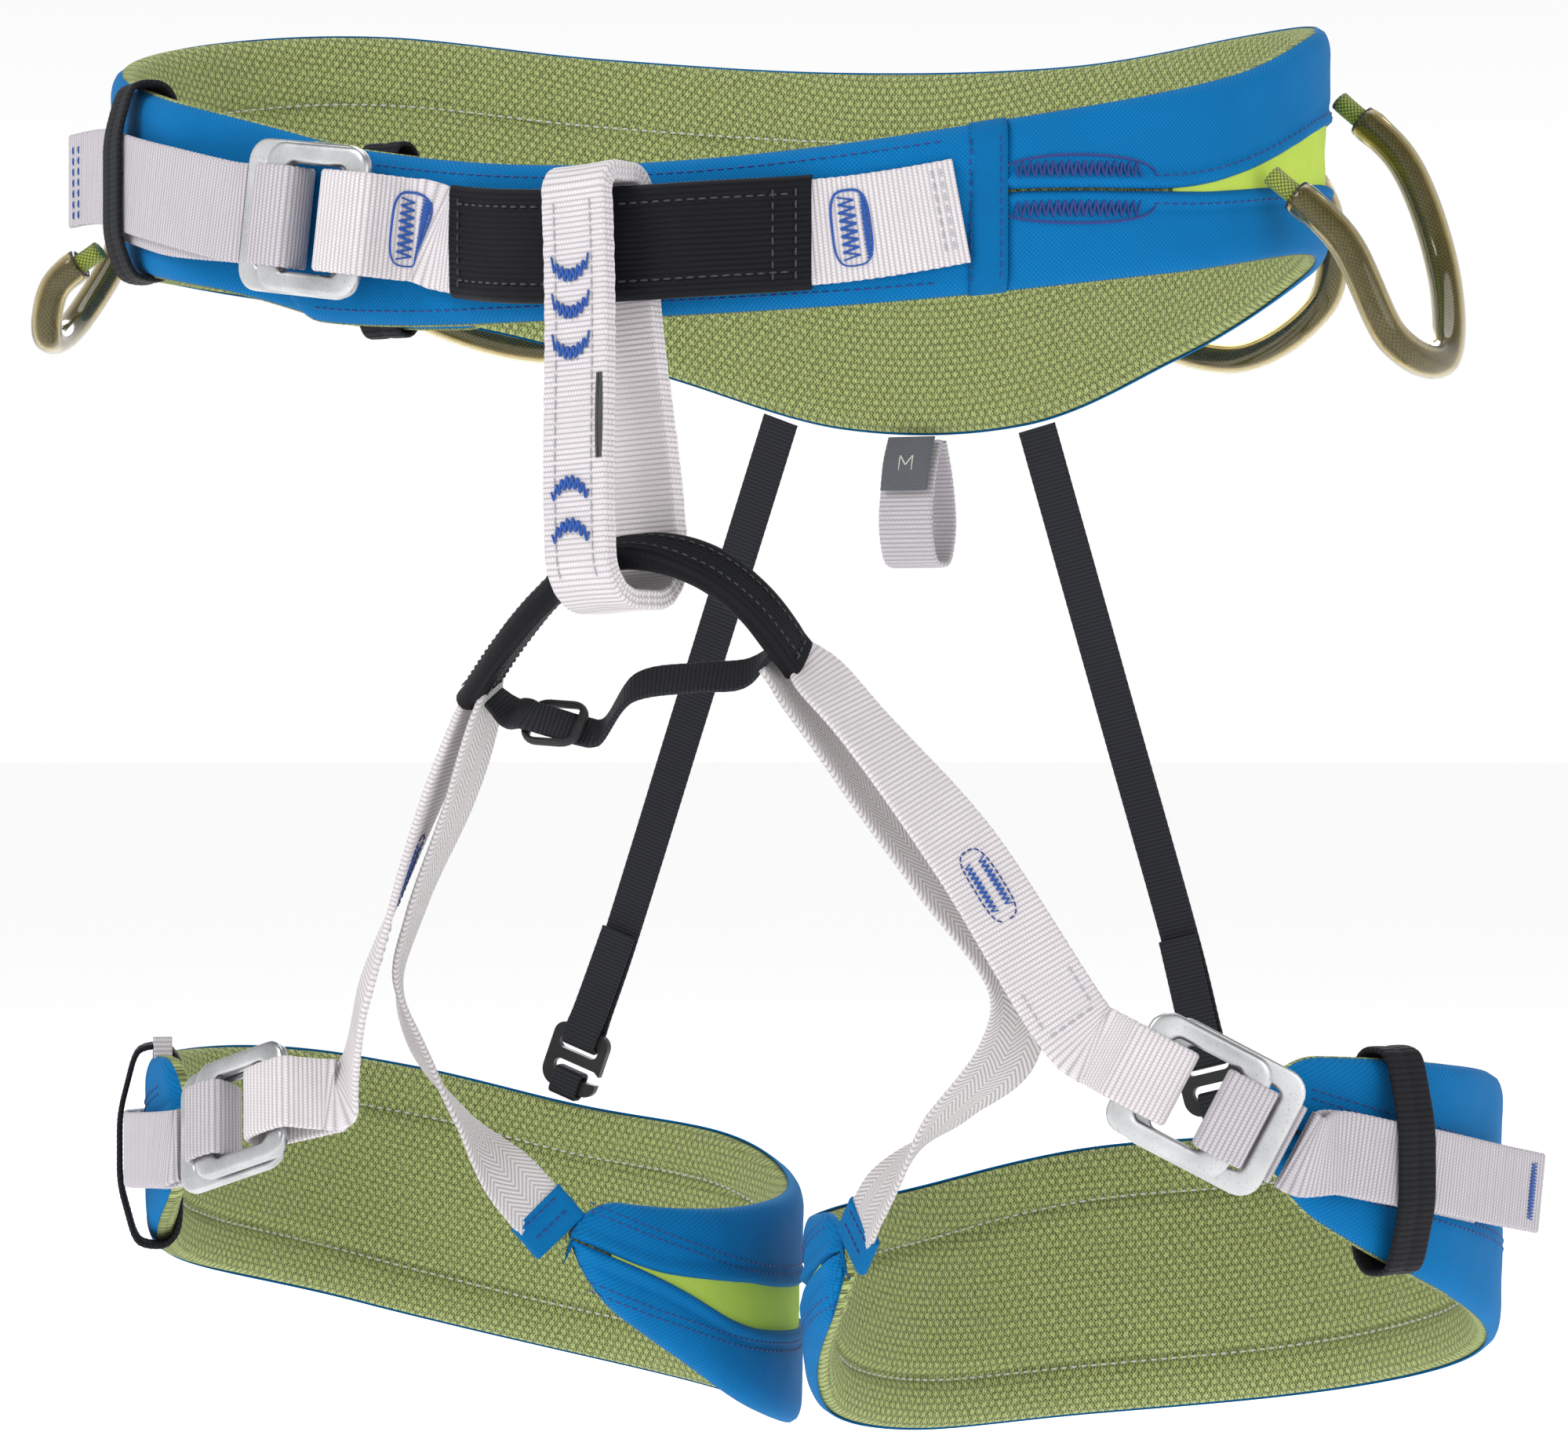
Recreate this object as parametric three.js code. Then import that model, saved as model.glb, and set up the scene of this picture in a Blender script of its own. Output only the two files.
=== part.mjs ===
// A sit harness for climbing: a padded waist belt, a belay loop, a leg bridge and two padded leg loops,
// with gear loops, a haul loop and rear elastics. Millimetres, +Z up, front at -Y, wearer's left at +X.
// The origin is the middle of the space that the wearer's waist fills.
import * as THREE from "three";

// ---- driving dimensions -------------------------------------------------------------------------

const WAIST = { a: 169, b: 104 }; // half width and half depth of the belt's outer face
const CENTRE_X = 20; // the hard points in front and the haul loop behind stand on this line
const BELT_START = -27; // belt angle where the front cover ends, behind the waist buckle
const BELT_END = 356; // belt angle where the hip pad ends, tucked under the front cover
const TUCK = 11.2; // how far the tucked end lies inside the rest of the belt
// heights of the belt's edges: [belt angle, z]
const BELT_TOP = [
  [-180, 66.5], [-155, 73], [-130, 79], [-105, 74], [-75, 60], [-45, 43], [-20, 26], [0, 17.8], [20, 18.5],
  [45, 27.5], [70, 39.5], [90, 53], [110, 61], [130, 64], [155, 63],
];
const BELT_BOTTOM = [
  [-180, -34.5], [-160, -17.5], [-140, -4], [-115, 2], [-85, 5], [-60, 2], [-40, -5.5], [-20, -18], [5, -20],
  [30, -17.5], [60, -9.5], [90, -1], [115, -4], [140, -19.5], [160, -35],
];

const SHELL = 1.6; // outer fabric of a pad
const FOAM = 5.2;
const LINING = 1.6; // inner mesh of a pad
const GAP = 0.3; // between layers that touch

const WAIST_WEB = 25; // width of the belt's load webbing
const LEG_WEB = 20; // width of the leg loops' webbing
const WEB = 1.8; // thickness of one layer of webbing

const LEG = { r: 90, x: 97, y: 21 }; // a leg loop's outer radius, and its middle from the centre line
const LEG_FRONT = 35; // leg angle where the pad ends beside the buckle
const LEG_INNER = 318; // leg angle where the pad ends at the inner thigh
// heights of a leg pad's edges: [leg angle, top z, bottom z]
const LEG_EDGES = [
  [LEG_FRONT, -197, -227], [60, -199, -248], [100, -206, -271], [140, -217, -290], [175, -229, -302],
  [210, -234.5, -308], [245, -243, -309], [275, -245, -299], [298, -243, -280], [LEG_INNER, -238, -259],
];

const BRIDGE_WIDTH = 16;
const LEG_SIZE = 0.96; // a leg buckle against the waist buckle
const ELASTIC_WIDTH = 11;
const KEEPER_WIDTH = 12;
const GEAR_TUBE = 4.4; // outer radius of a gear loop's sheath
const GEAR_CORD = 2.6; // radius of the cord inside it

// ---- materials ----------------------------------------------------------------------------------

const material = (color, roughness, metalness = 0) =>
  new THREE.MeshStandardMaterial({ color, roughness, metalness });
const BLUE = material(0x0f6fc4, 0.75);
const GREEN = material(0x8fa95a, 0.95);
const LIME = material(0xb5d64e, 0.8);
const FOAM_GREY = material(0x55585a, 0.95);
const LIGHT_WEBBING = material(0xd6d4d2, 0.7);
const GREY_WEBBING = material(0xb0abac, 0.7);
const BLACK = material(0x15161a, 0.8);
const ALUMINIUM = material(0xc9cbcd, 0.3, 1);
const PLASTIC = material(0x1b1b1c, 0.45);
const SHEATH = material(0x6d6a34, 0.2);
const CORD = material(0x7a8f2c, 0.7);
const LABEL_GREY = material(0x5d5f66, 0.8);

// ---- small tools --------------------------------------------------------------------------------

const harness = new THREE.Group();
const rad = THREE.MathUtils.degToRad;
const vec = (x, y, z) => new THREE.Vector3(x, y, z);
const up = vec(0, 0, 1);
const smooth = (x, from, to) => THREE.MathUtils.smoothstep(x, from, to);

function add(name, geometry, look, parent = harness) {
  const mesh = new THREE.Mesh(geometry, look);
  mesh.name = name;
  parent.add(mesh);
  return mesh;
}

// A closed solid through rings of points that all have the same count and turn the same way.
// With hole rings it is a sleeve, open at both ends.
function loft(rings, holes = null) {
  const sides = rings[0].length;
  const all = holes ? [...rings, ...holes] : rings;
  const position = all.flatMap((ring) => ring.flatMap((p) => p.toArray()));
  const index = [];
  const quad = (a, b, c, d) => index.push(a, b, c, a, c, d);
  const wall = (start, count, inward) => {
    for (let i = 0; i < count - 1; i++) {
      for (let j = 0; j < sides; j++) {
        const a = start + i * sides + j;
        const b = start + i * sides + ((j + 1) % sides);
        if (inward) quad(a, b, b + sides, a + sides);
        else quad(a, a + sides, b + sides, b);
      }
    }
  };
  const last = (rings.length - 1) * sides;
  wall(0, rings.length, false);
  if (holes) {
    const hole = rings.length * sides;
    wall(hole, holes.length, true);
    for (let j = 0; j < sides; j++) {
      const k = (j + 1) % sides;
      quad(j, k, hole + k, hole + j);
      quad(last + k, last + j, hole + last + j, hole + last + k);
    }
  } else {
    for (let j = 1; j < sides - 1; j++) {
      index.push(0, j, j + 1);
      index.push(last, last + j + 1, last + j);
    }
  }
  // rings that turn the other way round give inward faces, so each triangle is then reversed
  const at = (k) => vec(...position.slice(3 * k, 3 * k + 3));
  let volume = 0;
  for (let i = 0; i < index.length; i += 3) {
    volume += at(index[i]).dot(at(index[i + 1]).cross(at(index[i + 2])));
  }
  if (volume < 0) index.reverse();
  const geometry = new THREE.BufferGeometry();
  geometry.setAttribute("position", new THREE.Float32BufferAttribute(position, 3));
  geometry.setIndex(index);
  return geometry;
}

const samples = (from, to, steps) =>
  Array.from({ length: steps + 1 }, (_, i) => from + ((to - from) * i) / steps);

// Layers that touch share these stations, so that their flat facets lie parallel.
function stations(from, to, step) {
  const list = [from];
  for (let k = Math.floor(from / step) + 1; k * step < to - step / 100; k++) list.push(k * step);
  return [...list, to];
}

// The rectangle of a ribbon's section: across is its width, out its thickness.
function section(centre, across, out, width, thickness) {
  const w = across.clone().multiplyScalar(width / 2);
  const t = out.clone().multiplyScalar(thickness / 2);
  return [
    centre.clone().sub(w).sub(t),
    centre.clone().sub(w).add(t),
    centre.clone().add(w).add(t),
    centre.clone().add(w).sub(t),
  ];
}

// Webbing along a smooth line. Each stop is [point, direction of the webbing's width]; lift moves it off
// the line.
function ribbon(stops, width, thickness, steps, lift = 0) {
  const line = new THREE.CatmullRomCurve3(stops.map((s) => s[0]));
  const widths = new THREE.CatmullRomCurve3(stops.map((s) => s[1]));
  const rings = samples(0, 1, steps).map((t) => {
    const along = line.getTangent(t);
    const out = along.clone().cross(widths.getPoint(t)).normalize();
    const across = out.clone().cross(along).normalize();
    return section(line.getPoint(t).addScaledVector(out, lift), across, out, width, thickness);
  });
  return loft(rings);
}

// Webbing bent in one plane: a smooth line of [x, y] with the thickness laid off on both sides.
function bentStrip(points, thickness, width, steps) {
  const line = new THREE.SplineCurve(points.map(([x, y]) => new THREE.Vector2(x, y)));
  const side = (sign) =>
    samples(0, 1, steps).map((t) => {
      const d = line.getTangent(t);
      const p = line.getPoint(t);
      return new THREE.Vector2(p.x - (sign * d.y * thickness) / 2, p.y + (sign * d.x * thickness) / 2);
    });
  const shape = new THREE.Shape([...side(1), ...side(-1).reverse()]);
  const geometry = new THREE.ExtrudeGeometry(shape, { depth: width, bevelEnabled: false });
  return geometry.translate(0, 0, -width / 2);
}

// A rectangle with round corners, as a shape or as a hole in one.
function roundedRect(path, x0, x1, y0, y1, r) {
  path.moveTo(x0 + r, y0);
  path.lineTo(x1 - r, y0);
  path.absarc(x1 - r, y0 + r, r, -Math.PI / 2, 0);
  path.lineTo(x1, y1 - r);
  path.absarc(x1 - r, y1 - r, r, 0, Math.PI / 2);
  path.lineTo(x0 + r, y1);
  path.absarc(x0 + r, y1 - r, r, Math.PI / 2, Math.PI);
  path.lineTo(x0, y0 + r);
  path.absarc(x0 + r, y0 + r, r, Math.PI, 1.5 * Math.PI);
  return path;
}

// A flat ring: outer and inner are each [x0, x1, y0, y1, corner radius].
function ringPlate(outer, inner, depth, curveSegments = 3) {
  const shape = roundedRect(new THREE.Shape(), ...outer);
  shape.holes.push(roundedRect(new THREE.Path(), ...inner));
  return new THREE.ExtrudeGeometry(shape, { depth, bevelEnabled: false, curveSegments });
}

// The placing of a local frame: its x and z directions and its origin.
function frameOf(origin, x, z) {
  const y = z.clone().cross(x).normalize();
  const xd = y.clone().cross(z).normalize();
  return new THREE.Matrix4().makeBasis(xd, y, z.clone().normalize()).setPosition(origin);
}

function placedGroup(matrix) {
  const group = new THREE.Group();
  group.applyMatrix4(matrix);
  harness.add(group);
  return group;
}

// ---- waist belt ---------------------------------------------------------------------------------

// Belt angle 0 is the front, 90 the wearer's left and 180 the back; offset is outwards from the outer face.
function beltPoint(angle, offset, z) {
  const t = rad(angle);
  const normal = vec(Math.sin(t) / WAIST.a, -Math.cos(t) / WAIST.b, 0).normalize();
  return vec(WAIST.a * Math.sin(t), -WAIST.b * Math.cos(t), z).addScaledVector(normal, offset);
}

// A smooth height round the belt through the stops of a table.
function heightOf(table) {
  const stop = (i) => {
    const [angle, z] = table[THREE.MathUtils.euclideanModulo(i, table.length)];
    return [angle + 360 * Math.floor(i / table.length), z];
  };
  return (angle) => {
    const a = THREE.MathUtils.euclideanModulo(angle + 180, 360) - 180;
    const i = table.findLastIndex(([from]) => from <= a);
    const [p, q, r, s] = [stop(i - 1), stop(i), stop(i + 1), stop(i + 2)];
    const span = r[0] - q[0];
    const t = (a - q[0]) / span;
    const leave = ((r[1] - p[1]) / (r[0] - p[0])) * span;
    const arrive = ((s[1] - q[1]) / (s[0] - q[0])) * span;
    return q[1] + t * leave + t * t * (3 * (r[1] - q[1]) - 2 * leave - arrive) +
      t * t * t * (leave + arrive - 2 * (r[1] - q[1]));
  };
}
const beltTop = heightOf(BELT_TOP);
const beltBottom = heightOf(BELT_BOTTOM);
const beltTuck = (angle) => -TUCK * smooth(angle, 314, 331);
const beltSplit = (angle) => (beltTop(angle) + beltBottom(angle)) / 2 - 3; // where the outer fabric parts
const splitHalf = (angle) => 7.5 * smooth(angle, 58, 100) * (1 - smooth(angle, 255, 290)); // half its gap
const BELT_STEP = 7.5;

// A layer of the belt between two offsets; low and high say how tall it is at each angle.
function beltLayer(from, to, inner, outer, low, high) {
  const rings = stations(from, to, BELT_STEP).map((angle) => {
    const d = beltTuck(angle);
    return [
      beltPoint(angle, inner + d, low(angle)),
      beltPoint(angle, inner + d, high(angle)),
      beltPoint(angle, outer + d, high(angle)),
      beltPoint(angle, outer + d, low(angle)),
    ];
  });
  return loft(rings);
}

const COVER_END = 42; // belt angle of the seam between the front cover and the hip panels
const foamOut = -SHELL - GAP;
const liningOut = foamOut - FOAM - GAP;
const inset = 1.2; // the foam stops this short of the pad's edges
const lining = beltLayer(BELT_START, BELT_END, liningOut - LINING, liningOut, beltBottom, beltTop);
add("waist_lining", lining, GREEN);
add(
  "waist_foam",
  beltLayer(BELT_START + 1, BELT_END - 1, foamOut - FOAM, foamOut,
    (angle) => beltBottom(angle) + inset, (angle) => beltTop(angle) - inset),
  FOAM_GREY,
);
add("waist_front_cover", beltLayer(BELT_START, COVER_END, -SHELL, 0, beltBottom, beltTop), BLUE);
add(
  "waist_shell_upper",
  beltLayer(COVER_END + GAP, BELT_END, -SHELL, 0,
    (angle) => beltSplit(angle) + splitHalf(angle) + GAP / 2, beltTop),
  BLUE,
);
add(
  "waist_shell_lower",
  beltLayer(COVER_END + GAP, BELT_END, -SHELL, 0,
    beltBottom, (angle) => beltSplit(angle) - splitHalf(angle) - GAP / 2),
  BLUE,
);
add(
  "waist_hip_web",
  beltLayer(66, 276, -SHELL, -0.8,
    (angle) => beltSplit(angle) - splitHalf(angle) + GAP / 2,
    (angle) => beltSplit(angle) + splitHalf(angle) - GAP / 2),
  LIME,
);

// ---- buckles ------------------------------------------------------------------------------------

// Both frames of a buckle and the adjusting strap's fold, in the buckle's own frame: x along the strap
// towards the sewn side, y across it, z outwards from the rear frame's back. web is the webbing's width,
// k the size.
const REAR_PLATE = 2.4;
const FRONT_PLATE = [3.4, 6.8]; // the front frame's back and front faces

function buckle(prefix, web, k, matrix) {
  const group = placedGroup(matrix);
  const half = web / 2 + 6.5 * k;
  const window = web / 2 + 0.8;
  const rear = ringPlate(
    [-20 * k, 18.5 * k, -half, half, 6 * k], [-14.4 * k, 11.4 * k, -window, window, 2], REAR_PLATE,
  );
  add(prefix + "_buckle_rear_frame", rear, ALUMINIUM, group);
  const front = ringPlate(
    [-10.3 * k, 23 * k, 0.6 - half, half - 0.6, 5.5 * k], [-2.6 * k, 16 * k, -window, window, 2],
    FRONT_PLATE[1] - FRONT_PLATE[0],
  );
  add(prefix + "_buckle_front_frame", front.translate(0, 0, FRONT_PLATE[0]), ALUMINIUM, group);
  const bend = [
    [-22, -1.6], [-17.5, -1.6], [-14, -1.5], [-12.5, 0.9], [-12.4, 4.4], [-11.6, 7.6], [-8.6, 8.6],
    [-4.4, 8.6], [-1.2, 7.6], [-0.6, 4.2], [-1.2, 0], [-3.4, -3.3], [-8, -4.6], [-15, -4.6], [-22, -4.6],
  ].map(([x, z]) => [k * x, z]);
  const fold = bentStrip(bend, WEB - 0.2, web, 28).rotateX(Math.PI / 2);
  add(prefix + "_buckle_strap_fold", fold, LIGHT_WEBBING, group);
}

// The sewn strap's end in the buckle's frame: over both right-hand bars, round them and back under.
const anchorBend = (k) => [
  [34, -4.2], [30, -1.8], [27, 3.2], [24.6, 7.7], [20, 8.6], [14, 8.4], [10.4, 7.2], [9.2, 4.2], [9.2, 0.8],
  [10.6, -1.6], [14.6, -2.4], [24, -4.6], [33, -6.7],
].map(([x, z]) => [k * x, z]);
const inFrame = (matrix, x, y, z) => vec(x, y, z).applyMatrix4(matrix);
const axisOf = (matrix, column) => new THREE.Vector3().setFromMatrixColumn(matrix, column);

const WAIST_BUCKLE = { angle: -20.5, z: 7, lift: 5.6 };
const beltTangent = (angle) => beltPoint(angle + 0.5, 0, 0).sub(beltPoint(angle - 0.5, 0, 0)).normalize();
const beltNormal = (angle) => beltTangent(angle).clone().cross(up).normalize();
const waistBuckle = frameOf(
  beltPoint(WAIST_BUCKLE.angle, WAIST_BUCKLE.lift, WAIST_BUCKLE.z),
  beltTangent(WAIST_BUCKLE.angle).addScaledVector(up, -0.14),
  beltNormal(WAIST_BUCKLE.angle),
);
buckle("waist", WAIST_WEB, 1, waistBuckle);

// ---- tie-in webbing and its sleeve --------------------------------------------------------------

const SLEEVE = { from: -6, to: 25, half: 13.7, wall: 0.8 };
const tieInZ = (angle) => -4.2 + (angle < 6 ? 0.025 : 0.008) * (angle - 6) ** 2;
const tieInOffset = (angle) =>
  1.3 + 2.3 * (1 - smooth(angle, -14, -4)) + 12.3 * smooth(angle, -10, 3) * (1 - smooth(angle, 14, 30));
const tieInStop = (angle) => [beltPoint(angle, tieInOffset(angle), tieInZ(angle)), up.clone().negate()];
const waistAnchor = anchorBend(1).map(
  ([x, z]) => [inFrame(waistBuckle, x, 0, z), axisOf(waistBuckle, 1).negate()],
);
const tieInStops = [...samples(38, -7.6, 13).map(tieInStop), ...waistAnchor];
add("tie_in_webbing", ribbon(tieInStops, WAIST_WEB, WEB, 52), LIGHT_WEBBING);

function beltSleeve(from, to, steps, half, wall) {
  const ring = (angle, grow) => {
    const o = tieInOffset(angle);
    const t = WEB / 2 + 0.45 + grow;
    const h = half - wall + grow;
    const z = tieInZ(angle);
    return [
      beltPoint(angle, o - t, z - h), beltPoint(angle, o - t, z + h),
      beltPoint(angle, o + t, z + h), beltPoint(angle, o + t, z - h),
    ];
  };
  const angles = samples(from, to, steps);
  return loft(angles.map((angle) => ring(angle, wall)), angles.map((angle) => ring(angle, 0)));
}
add("tie_in_sleeve", beltSleeve(SLEEVE.from, SLEEVE.to, 12, SLEEVE.half, SLEEVE.wall), BLACK);

// ---- waist strap and keepers --------------------------------------------------------------------

const waistStrapZ = (angle) => 13.5 + 14.5 * smooth(-angle, 28, 66);
const beltStop = (angle, offset, drop = 0) => [beltPoint(angle, offset, waistStrapZ(angle) - drop), up];
const buckleStop = (frame, x, z) => [inFrame(frame, x, 0, z), axisOf(frame, 1)];
const waistStops = [
  buckleStop(waistBuckle, -22.7, -4.6), buckleStop(waistBuckle, -27, -4.6),
  ...samples(-42, -62, 3).map((angle) => beltStop(angle, 1.4, 3)),
];
add("waist_strap", ribbon(waistStops, WAIST_WEB, WEB - 0.2, 12), GREY_WEBBING);
const tailStops = [
  buckleStop(waistBuckle, -22.7, -1.6), buckleStop(waistBuckle, -27, -1.8),
  ...samples(-42, -60, 3).map((angle) => beltStop(angle, 3.7)), beltStop(-65.5, 6), beltStop(-69.5, 10),
];
add("waist_strap_tail", ribbon(tailStops, WAIST_WEB, WEB - 0.2, 16), GREY_WEBBING);

// An elastic loop round a pad and its strap: heights and offsets of the space inside it.
function keeper(name, origin, outwards, low, high, back, front, wall = 1.4) {
  const group = placedGroup(frameOf(origin, up.clone().cross(outwards), outwards));
  const outer = [back - wall, front + wall, low - wall, high + wall, 3];
  const inner = [back, front, low, high, 1.8];
  const ring = ringPlate(outer, inner, KEEPER_WIDTH, 2).translate(0, 0, -KEEPER_WIDTH / 2);
  add(name, ring.rotateY(-Math.PI / 2), BLACK, group);
}
const padDepth = SHELL + FOAM + LINING + 2 * GAP;
const WAIST_KEEPER = -53;
keeper(
  "waist_keeper", beltPoint(WAIST_KEEPER, 0, 0), beltNormal(WAIST_KEEPER),
  beltBottom(WAIST_KEEPER) - 1.8, beltTop(WAIST_KEEPER) + 2.4, -padDepth - 0.8, 5.2,
);
const END_KEEPER = -17.5;
keeper(
  "waist_end_keeper", beltPoint(END_KEEPER, -TUCK, 0), beltNormal(END_KEEPER),
  beltBottom(END_KEEPER) - 2, beltTop(END_KEEPER) + 2.2, -padDepth - 0.5, 0.5, 1.1,
);

// ---- belay loop ---------------------------------------------------------------------------------

const BELAY = { x: 25.5, y: -116.6, width: 18, thickness: 4.6, yaw: -10, roll: 3 };
const belayFrame = new THREE.Matrix4()
  .makeTranslation(BELAY.x, BELAY.y, 0)
  .multiply(new THREE.Matrix4().makeRotationZ(rad(BELAY.yaw)))
  .multiply(new THREE.Matrix4().makeRotationY(rad(-BELAY.roll)));
// round corners either side of a flat seat, above and below
const BELAY_TOP = { r: 2.7, half: 3.6, y: 7.4 };
const BELAY_LOW = { r: 8.6, half: 3.9, x: 1.5, y: -78 };
// The loop's inner outline in its own plane, x backwards and y up: narrow over the sleeve, wide round the
// bridge.
function belayOutline(path, grow) {
  const high = BELAY_TOP.r + grow;
  const side = BELAY_TOP.half + high;
  path.moveTo(side, BELAY_TOP.y);
  path.absarc(BELAY_TOP.half, BELAY_TOP.y, high, 0, Math.PI / 2);
  path.absarc(-BELAY_TOP.half, BELAY_TOP.y, high, Math.PI / 2, Math.PI);
  const { half, x, y } = BELAY_LOW;
  const low = BELAY_LOW.r + grow;
  path.bezierCurveTo(-side, -34, x - half - low, -50, x - half - low, y);
  path.absarc(x - half, y, low, Math.PI, 1.5 * Math.PI);
  path.absarc(x + half, y, low, 1.5 * Math.PI, 2 * Math.PI);
  path.bezierCurveTo(x + half + low, -50, side, -34, side, BELAY_TOP.y);
  return path;
}
const belayShape = belayOutline(new THREE.Shape(), BELAY.thickness);
belayShape.holes.push(belayOutline(new THREE.Path(), 0));
const belayGeometry = new THREE.ExtrudeGeometry(
  belayShape, { depth: BELAY.width, bevelEnabled: false, curveSegments: 4 },
);
belayGeometry.translate(0, 0, -BELAY.width / 2).rotateX(Math.PI / 2).rotateZ(Math.PI / 2);
add("belay_loop", belayGeometry, LIGHT_WEBBING, placedGroup(belayFrame));

// ---- leg bridge ---------------------------------------------------------------------------------

const bridgeStops = [
  [-22, -85, -108.5, 0, 0.95, 0.3], [-8, -97, -98, 0, 0.93, 0.36], [7, -107.5, -87.5, 0, 0.92, 0.4],
  [21, -114, -79.4, 0, 0.92, 0.4], [37, -115.9, -77, 0, 0.92, 0.4], [48, -107.6, -80, 0, 0.82, 0.57],
  [56, -96.5, -88, 0, 0.75, 0.66], [62, -85, -100.5, 0, 0.75, 0.66],
].map(([x, y, z, a, b, c]) => [vec(x, y, z), vec(a, b, c)]);
add("bridge_webbing", ribbon(bridgeStops, BRIDGE_WIDTH - 5.2, 2 * WEB, 20), LIGHT_WEBBING);

function ribbonSleeve(stops, width, thickness, wall, steps) {
  const line = new THREE.CatmullRomCurve3(stops.map((s) => s[0]));
  const widths = new THREE.CatmullRomCurve3(stops.map((s) => s[1]));
  const ring = (t, grow) => {
    const along = line.getTangent(t);
    const out = along.clone().cross(widths.getPoint(t)).normalize();
    const across = out.clone().cross(along).normalize();
    return section(line.getPoint(t), across, out, width + 2 * grow, thickness + 2 * grow);
  };
  const at = samples(0, 1, steps);
  return loft(at.map((t) => ring(t, wall)), at.map((t) => ring(t, 0)));
}
add("bridge_sleeve", ribbonSleeve(bridgeStops, BRIDGE_WIDTH - 4.2, 2 * WEB + 0.8, 1, 20), BLACK);

// The black strap that ties the two ends of the bridge together, and the slider that shortens it.
const sliderFrame = frameOf(vec(0, -88, -117.5), vec(1, -0.12, 0.1), vec(0.1, -0.75, 0.66));
const sliderStop = (x, z) => [inFrame(sliderFrame, x, 0, z), axisOf(sliderFrame, 1)];
const crossStops = [
  [vec(-14.5, -83.5, -114.5), vec(0, 0.66, 0.75)],
  sliderStop(-6.5, 2.3), sliderStop(0, 0), sliderStop(6.5, -2.3), sliderStop(11, -2.5),
  ...[vec(22, -89, -109), vec(38, -87.5, -106.5), vec(50, -85, -108)].map((p) => [p, vec(0, 0.6, 0.8)]),
];
add("cross_strap", ribbon(crossStops, 9, 1.4, 18), BLACK);
const slider = ringPlate([-8, 8, -7, 7, 5], [-5.4, 5.4, -5.3, 5.3, 1.6], 1.8).translate(0, 0, -0.9);
add("cross_strap_slider", slider, PLASTIC, placedGroup(sliderFrame));

// ---- leg loops ----------------------------------------------------------------------------------

// Leg angle 0 is the front, 90 the outside of the thigh and 180 the back; side is +1 left, -1 right.
function legPoint(side, angle, offset, z) {
  const t = rad(angle);
  const r = LEG.r + offset;
  return vec(CENTRE_X + side * (LEG.x + r * Math.sin(t)), LEG.y - r * Math.cos(t), z);
}
const legTopLine = new THREE.SplineCurve(LEG_EDGES.map(([angle, top]) => new THREE.Vector2(angle, top)));
const legDrop = (side, angle) => (side > 0 ? 0 : -9 * (1 - smooth(angle, 50, 130))); // right hangs lower
const legBottomLine = new THREE.SplineCurve(LEG_EDGES.map(([angle, , low]) => new THREE.Vector2(angle, low)));

function legLayer(side, from, to, inner, outer, trim) {
  const rings = stations(from, to, 1 / 30).map((t) => {
    const top = legTopLine.getPoint(t);
    const low = legBottomLine.getPoint(t);
    top.y += legDrop(side, top.x);
    low.y += legDrop(side, low.x);
    return [
      legPoint(side, low.x, inner, low.y + trim), legPoint(side, top.x, inner, top.y - trim),
      legPoint(side, top.x, outer, top.y - trim), legPoint(side, low.x, outer, low.y + trim),
    ];
  });
  return loft(rings);
}

const legStrapZ = (side, angle) => (side > 0 ? -213 - 0.32 * (angle - 25) : -229 - 0.1 * (angle - 25));
const legTangent = (side, angle) => vec(side * Math.cos(rad(angle)), Math.sin(rad(angle)), 0);
const legNormal = (side, angle) => vec(side * Math.sin(rad(angle)), -Math.cos(rad(angle)), 0);
// Where each leg's buckle hangs: its middle, the way along its strap towards the bridge, and the way out.
const LEG_BUCKLE = {
  left: frameOf(vec(161, -67, -207.5), vec(-0.8, -0.36, 0.46), vec(0.41, -0.91, 0)),
  right: frameOf(vec(-97, -73.5, -219.5), vec(0.93, -0.215, 0.3), vec(-0.3, -0.91, 0.29)),
};

// The webbing from the bridge to the buckle, and the one that leaves it for the inner thigh.
const RISERS = {
  left: {
    outer: [
      [64.5, -82.5, -103, 0, 0.8, 0.6], [82, -80.5, -122, 0, 0.8, 0.6], [103.5, -78.5, -148, 0.3, 0.6, 0.74],
    ],
    inner: [[59, -84.5, -109, 0, 0.95, 0.3], [76, -78, -132, 0, 0.95, 0.3], [95, -73.5, -156, 0.3, 0.9, 0.3],
      [112, -66, -181, 0.5, 0.8, 0.1], [107.5, -60, -198, 0.6, 0.7, -0.3], [90, -55, -214, 0.5, 0.7, 0.2],
      [70, -50.5, -234, -0.4, 0.6, 0.68], [61.4, -43.9, -247, -0.54, 0.49, 0.7]],
  },
  right: {
    outer: [
      [-26, -81, -112.3, 0, 0.97, 0.25], [-36.5, -79.5, -133, -0.05, 0.95, 0.3],
      [-47, -79.5, -158, -0.15, 0.85, 0.5], [-56, -82, -185, -0.3, 0.7, 0.65],
    ],
    inner: [[-19.5, -84.5, -113, 0, 1, 0.1], [-31, -77.5, -136, 0, 1, 0.1],
      [-46, -72.5, -164, -0.2, 0.95, 0.1], [-54, -67, -183, -0.4, 0.85, -0.2],
      [-52, -62, -199, -0.5, 0.8, -0.3], [-41, -56.5, -219, -0.2, 0.8, 0],
      [-28.5, -50.5, -236, 0.4, 0.6, 0.68], [-21.5, -43.9, -247, 0.54, 0.49, 0.7]],
  },
};
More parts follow.
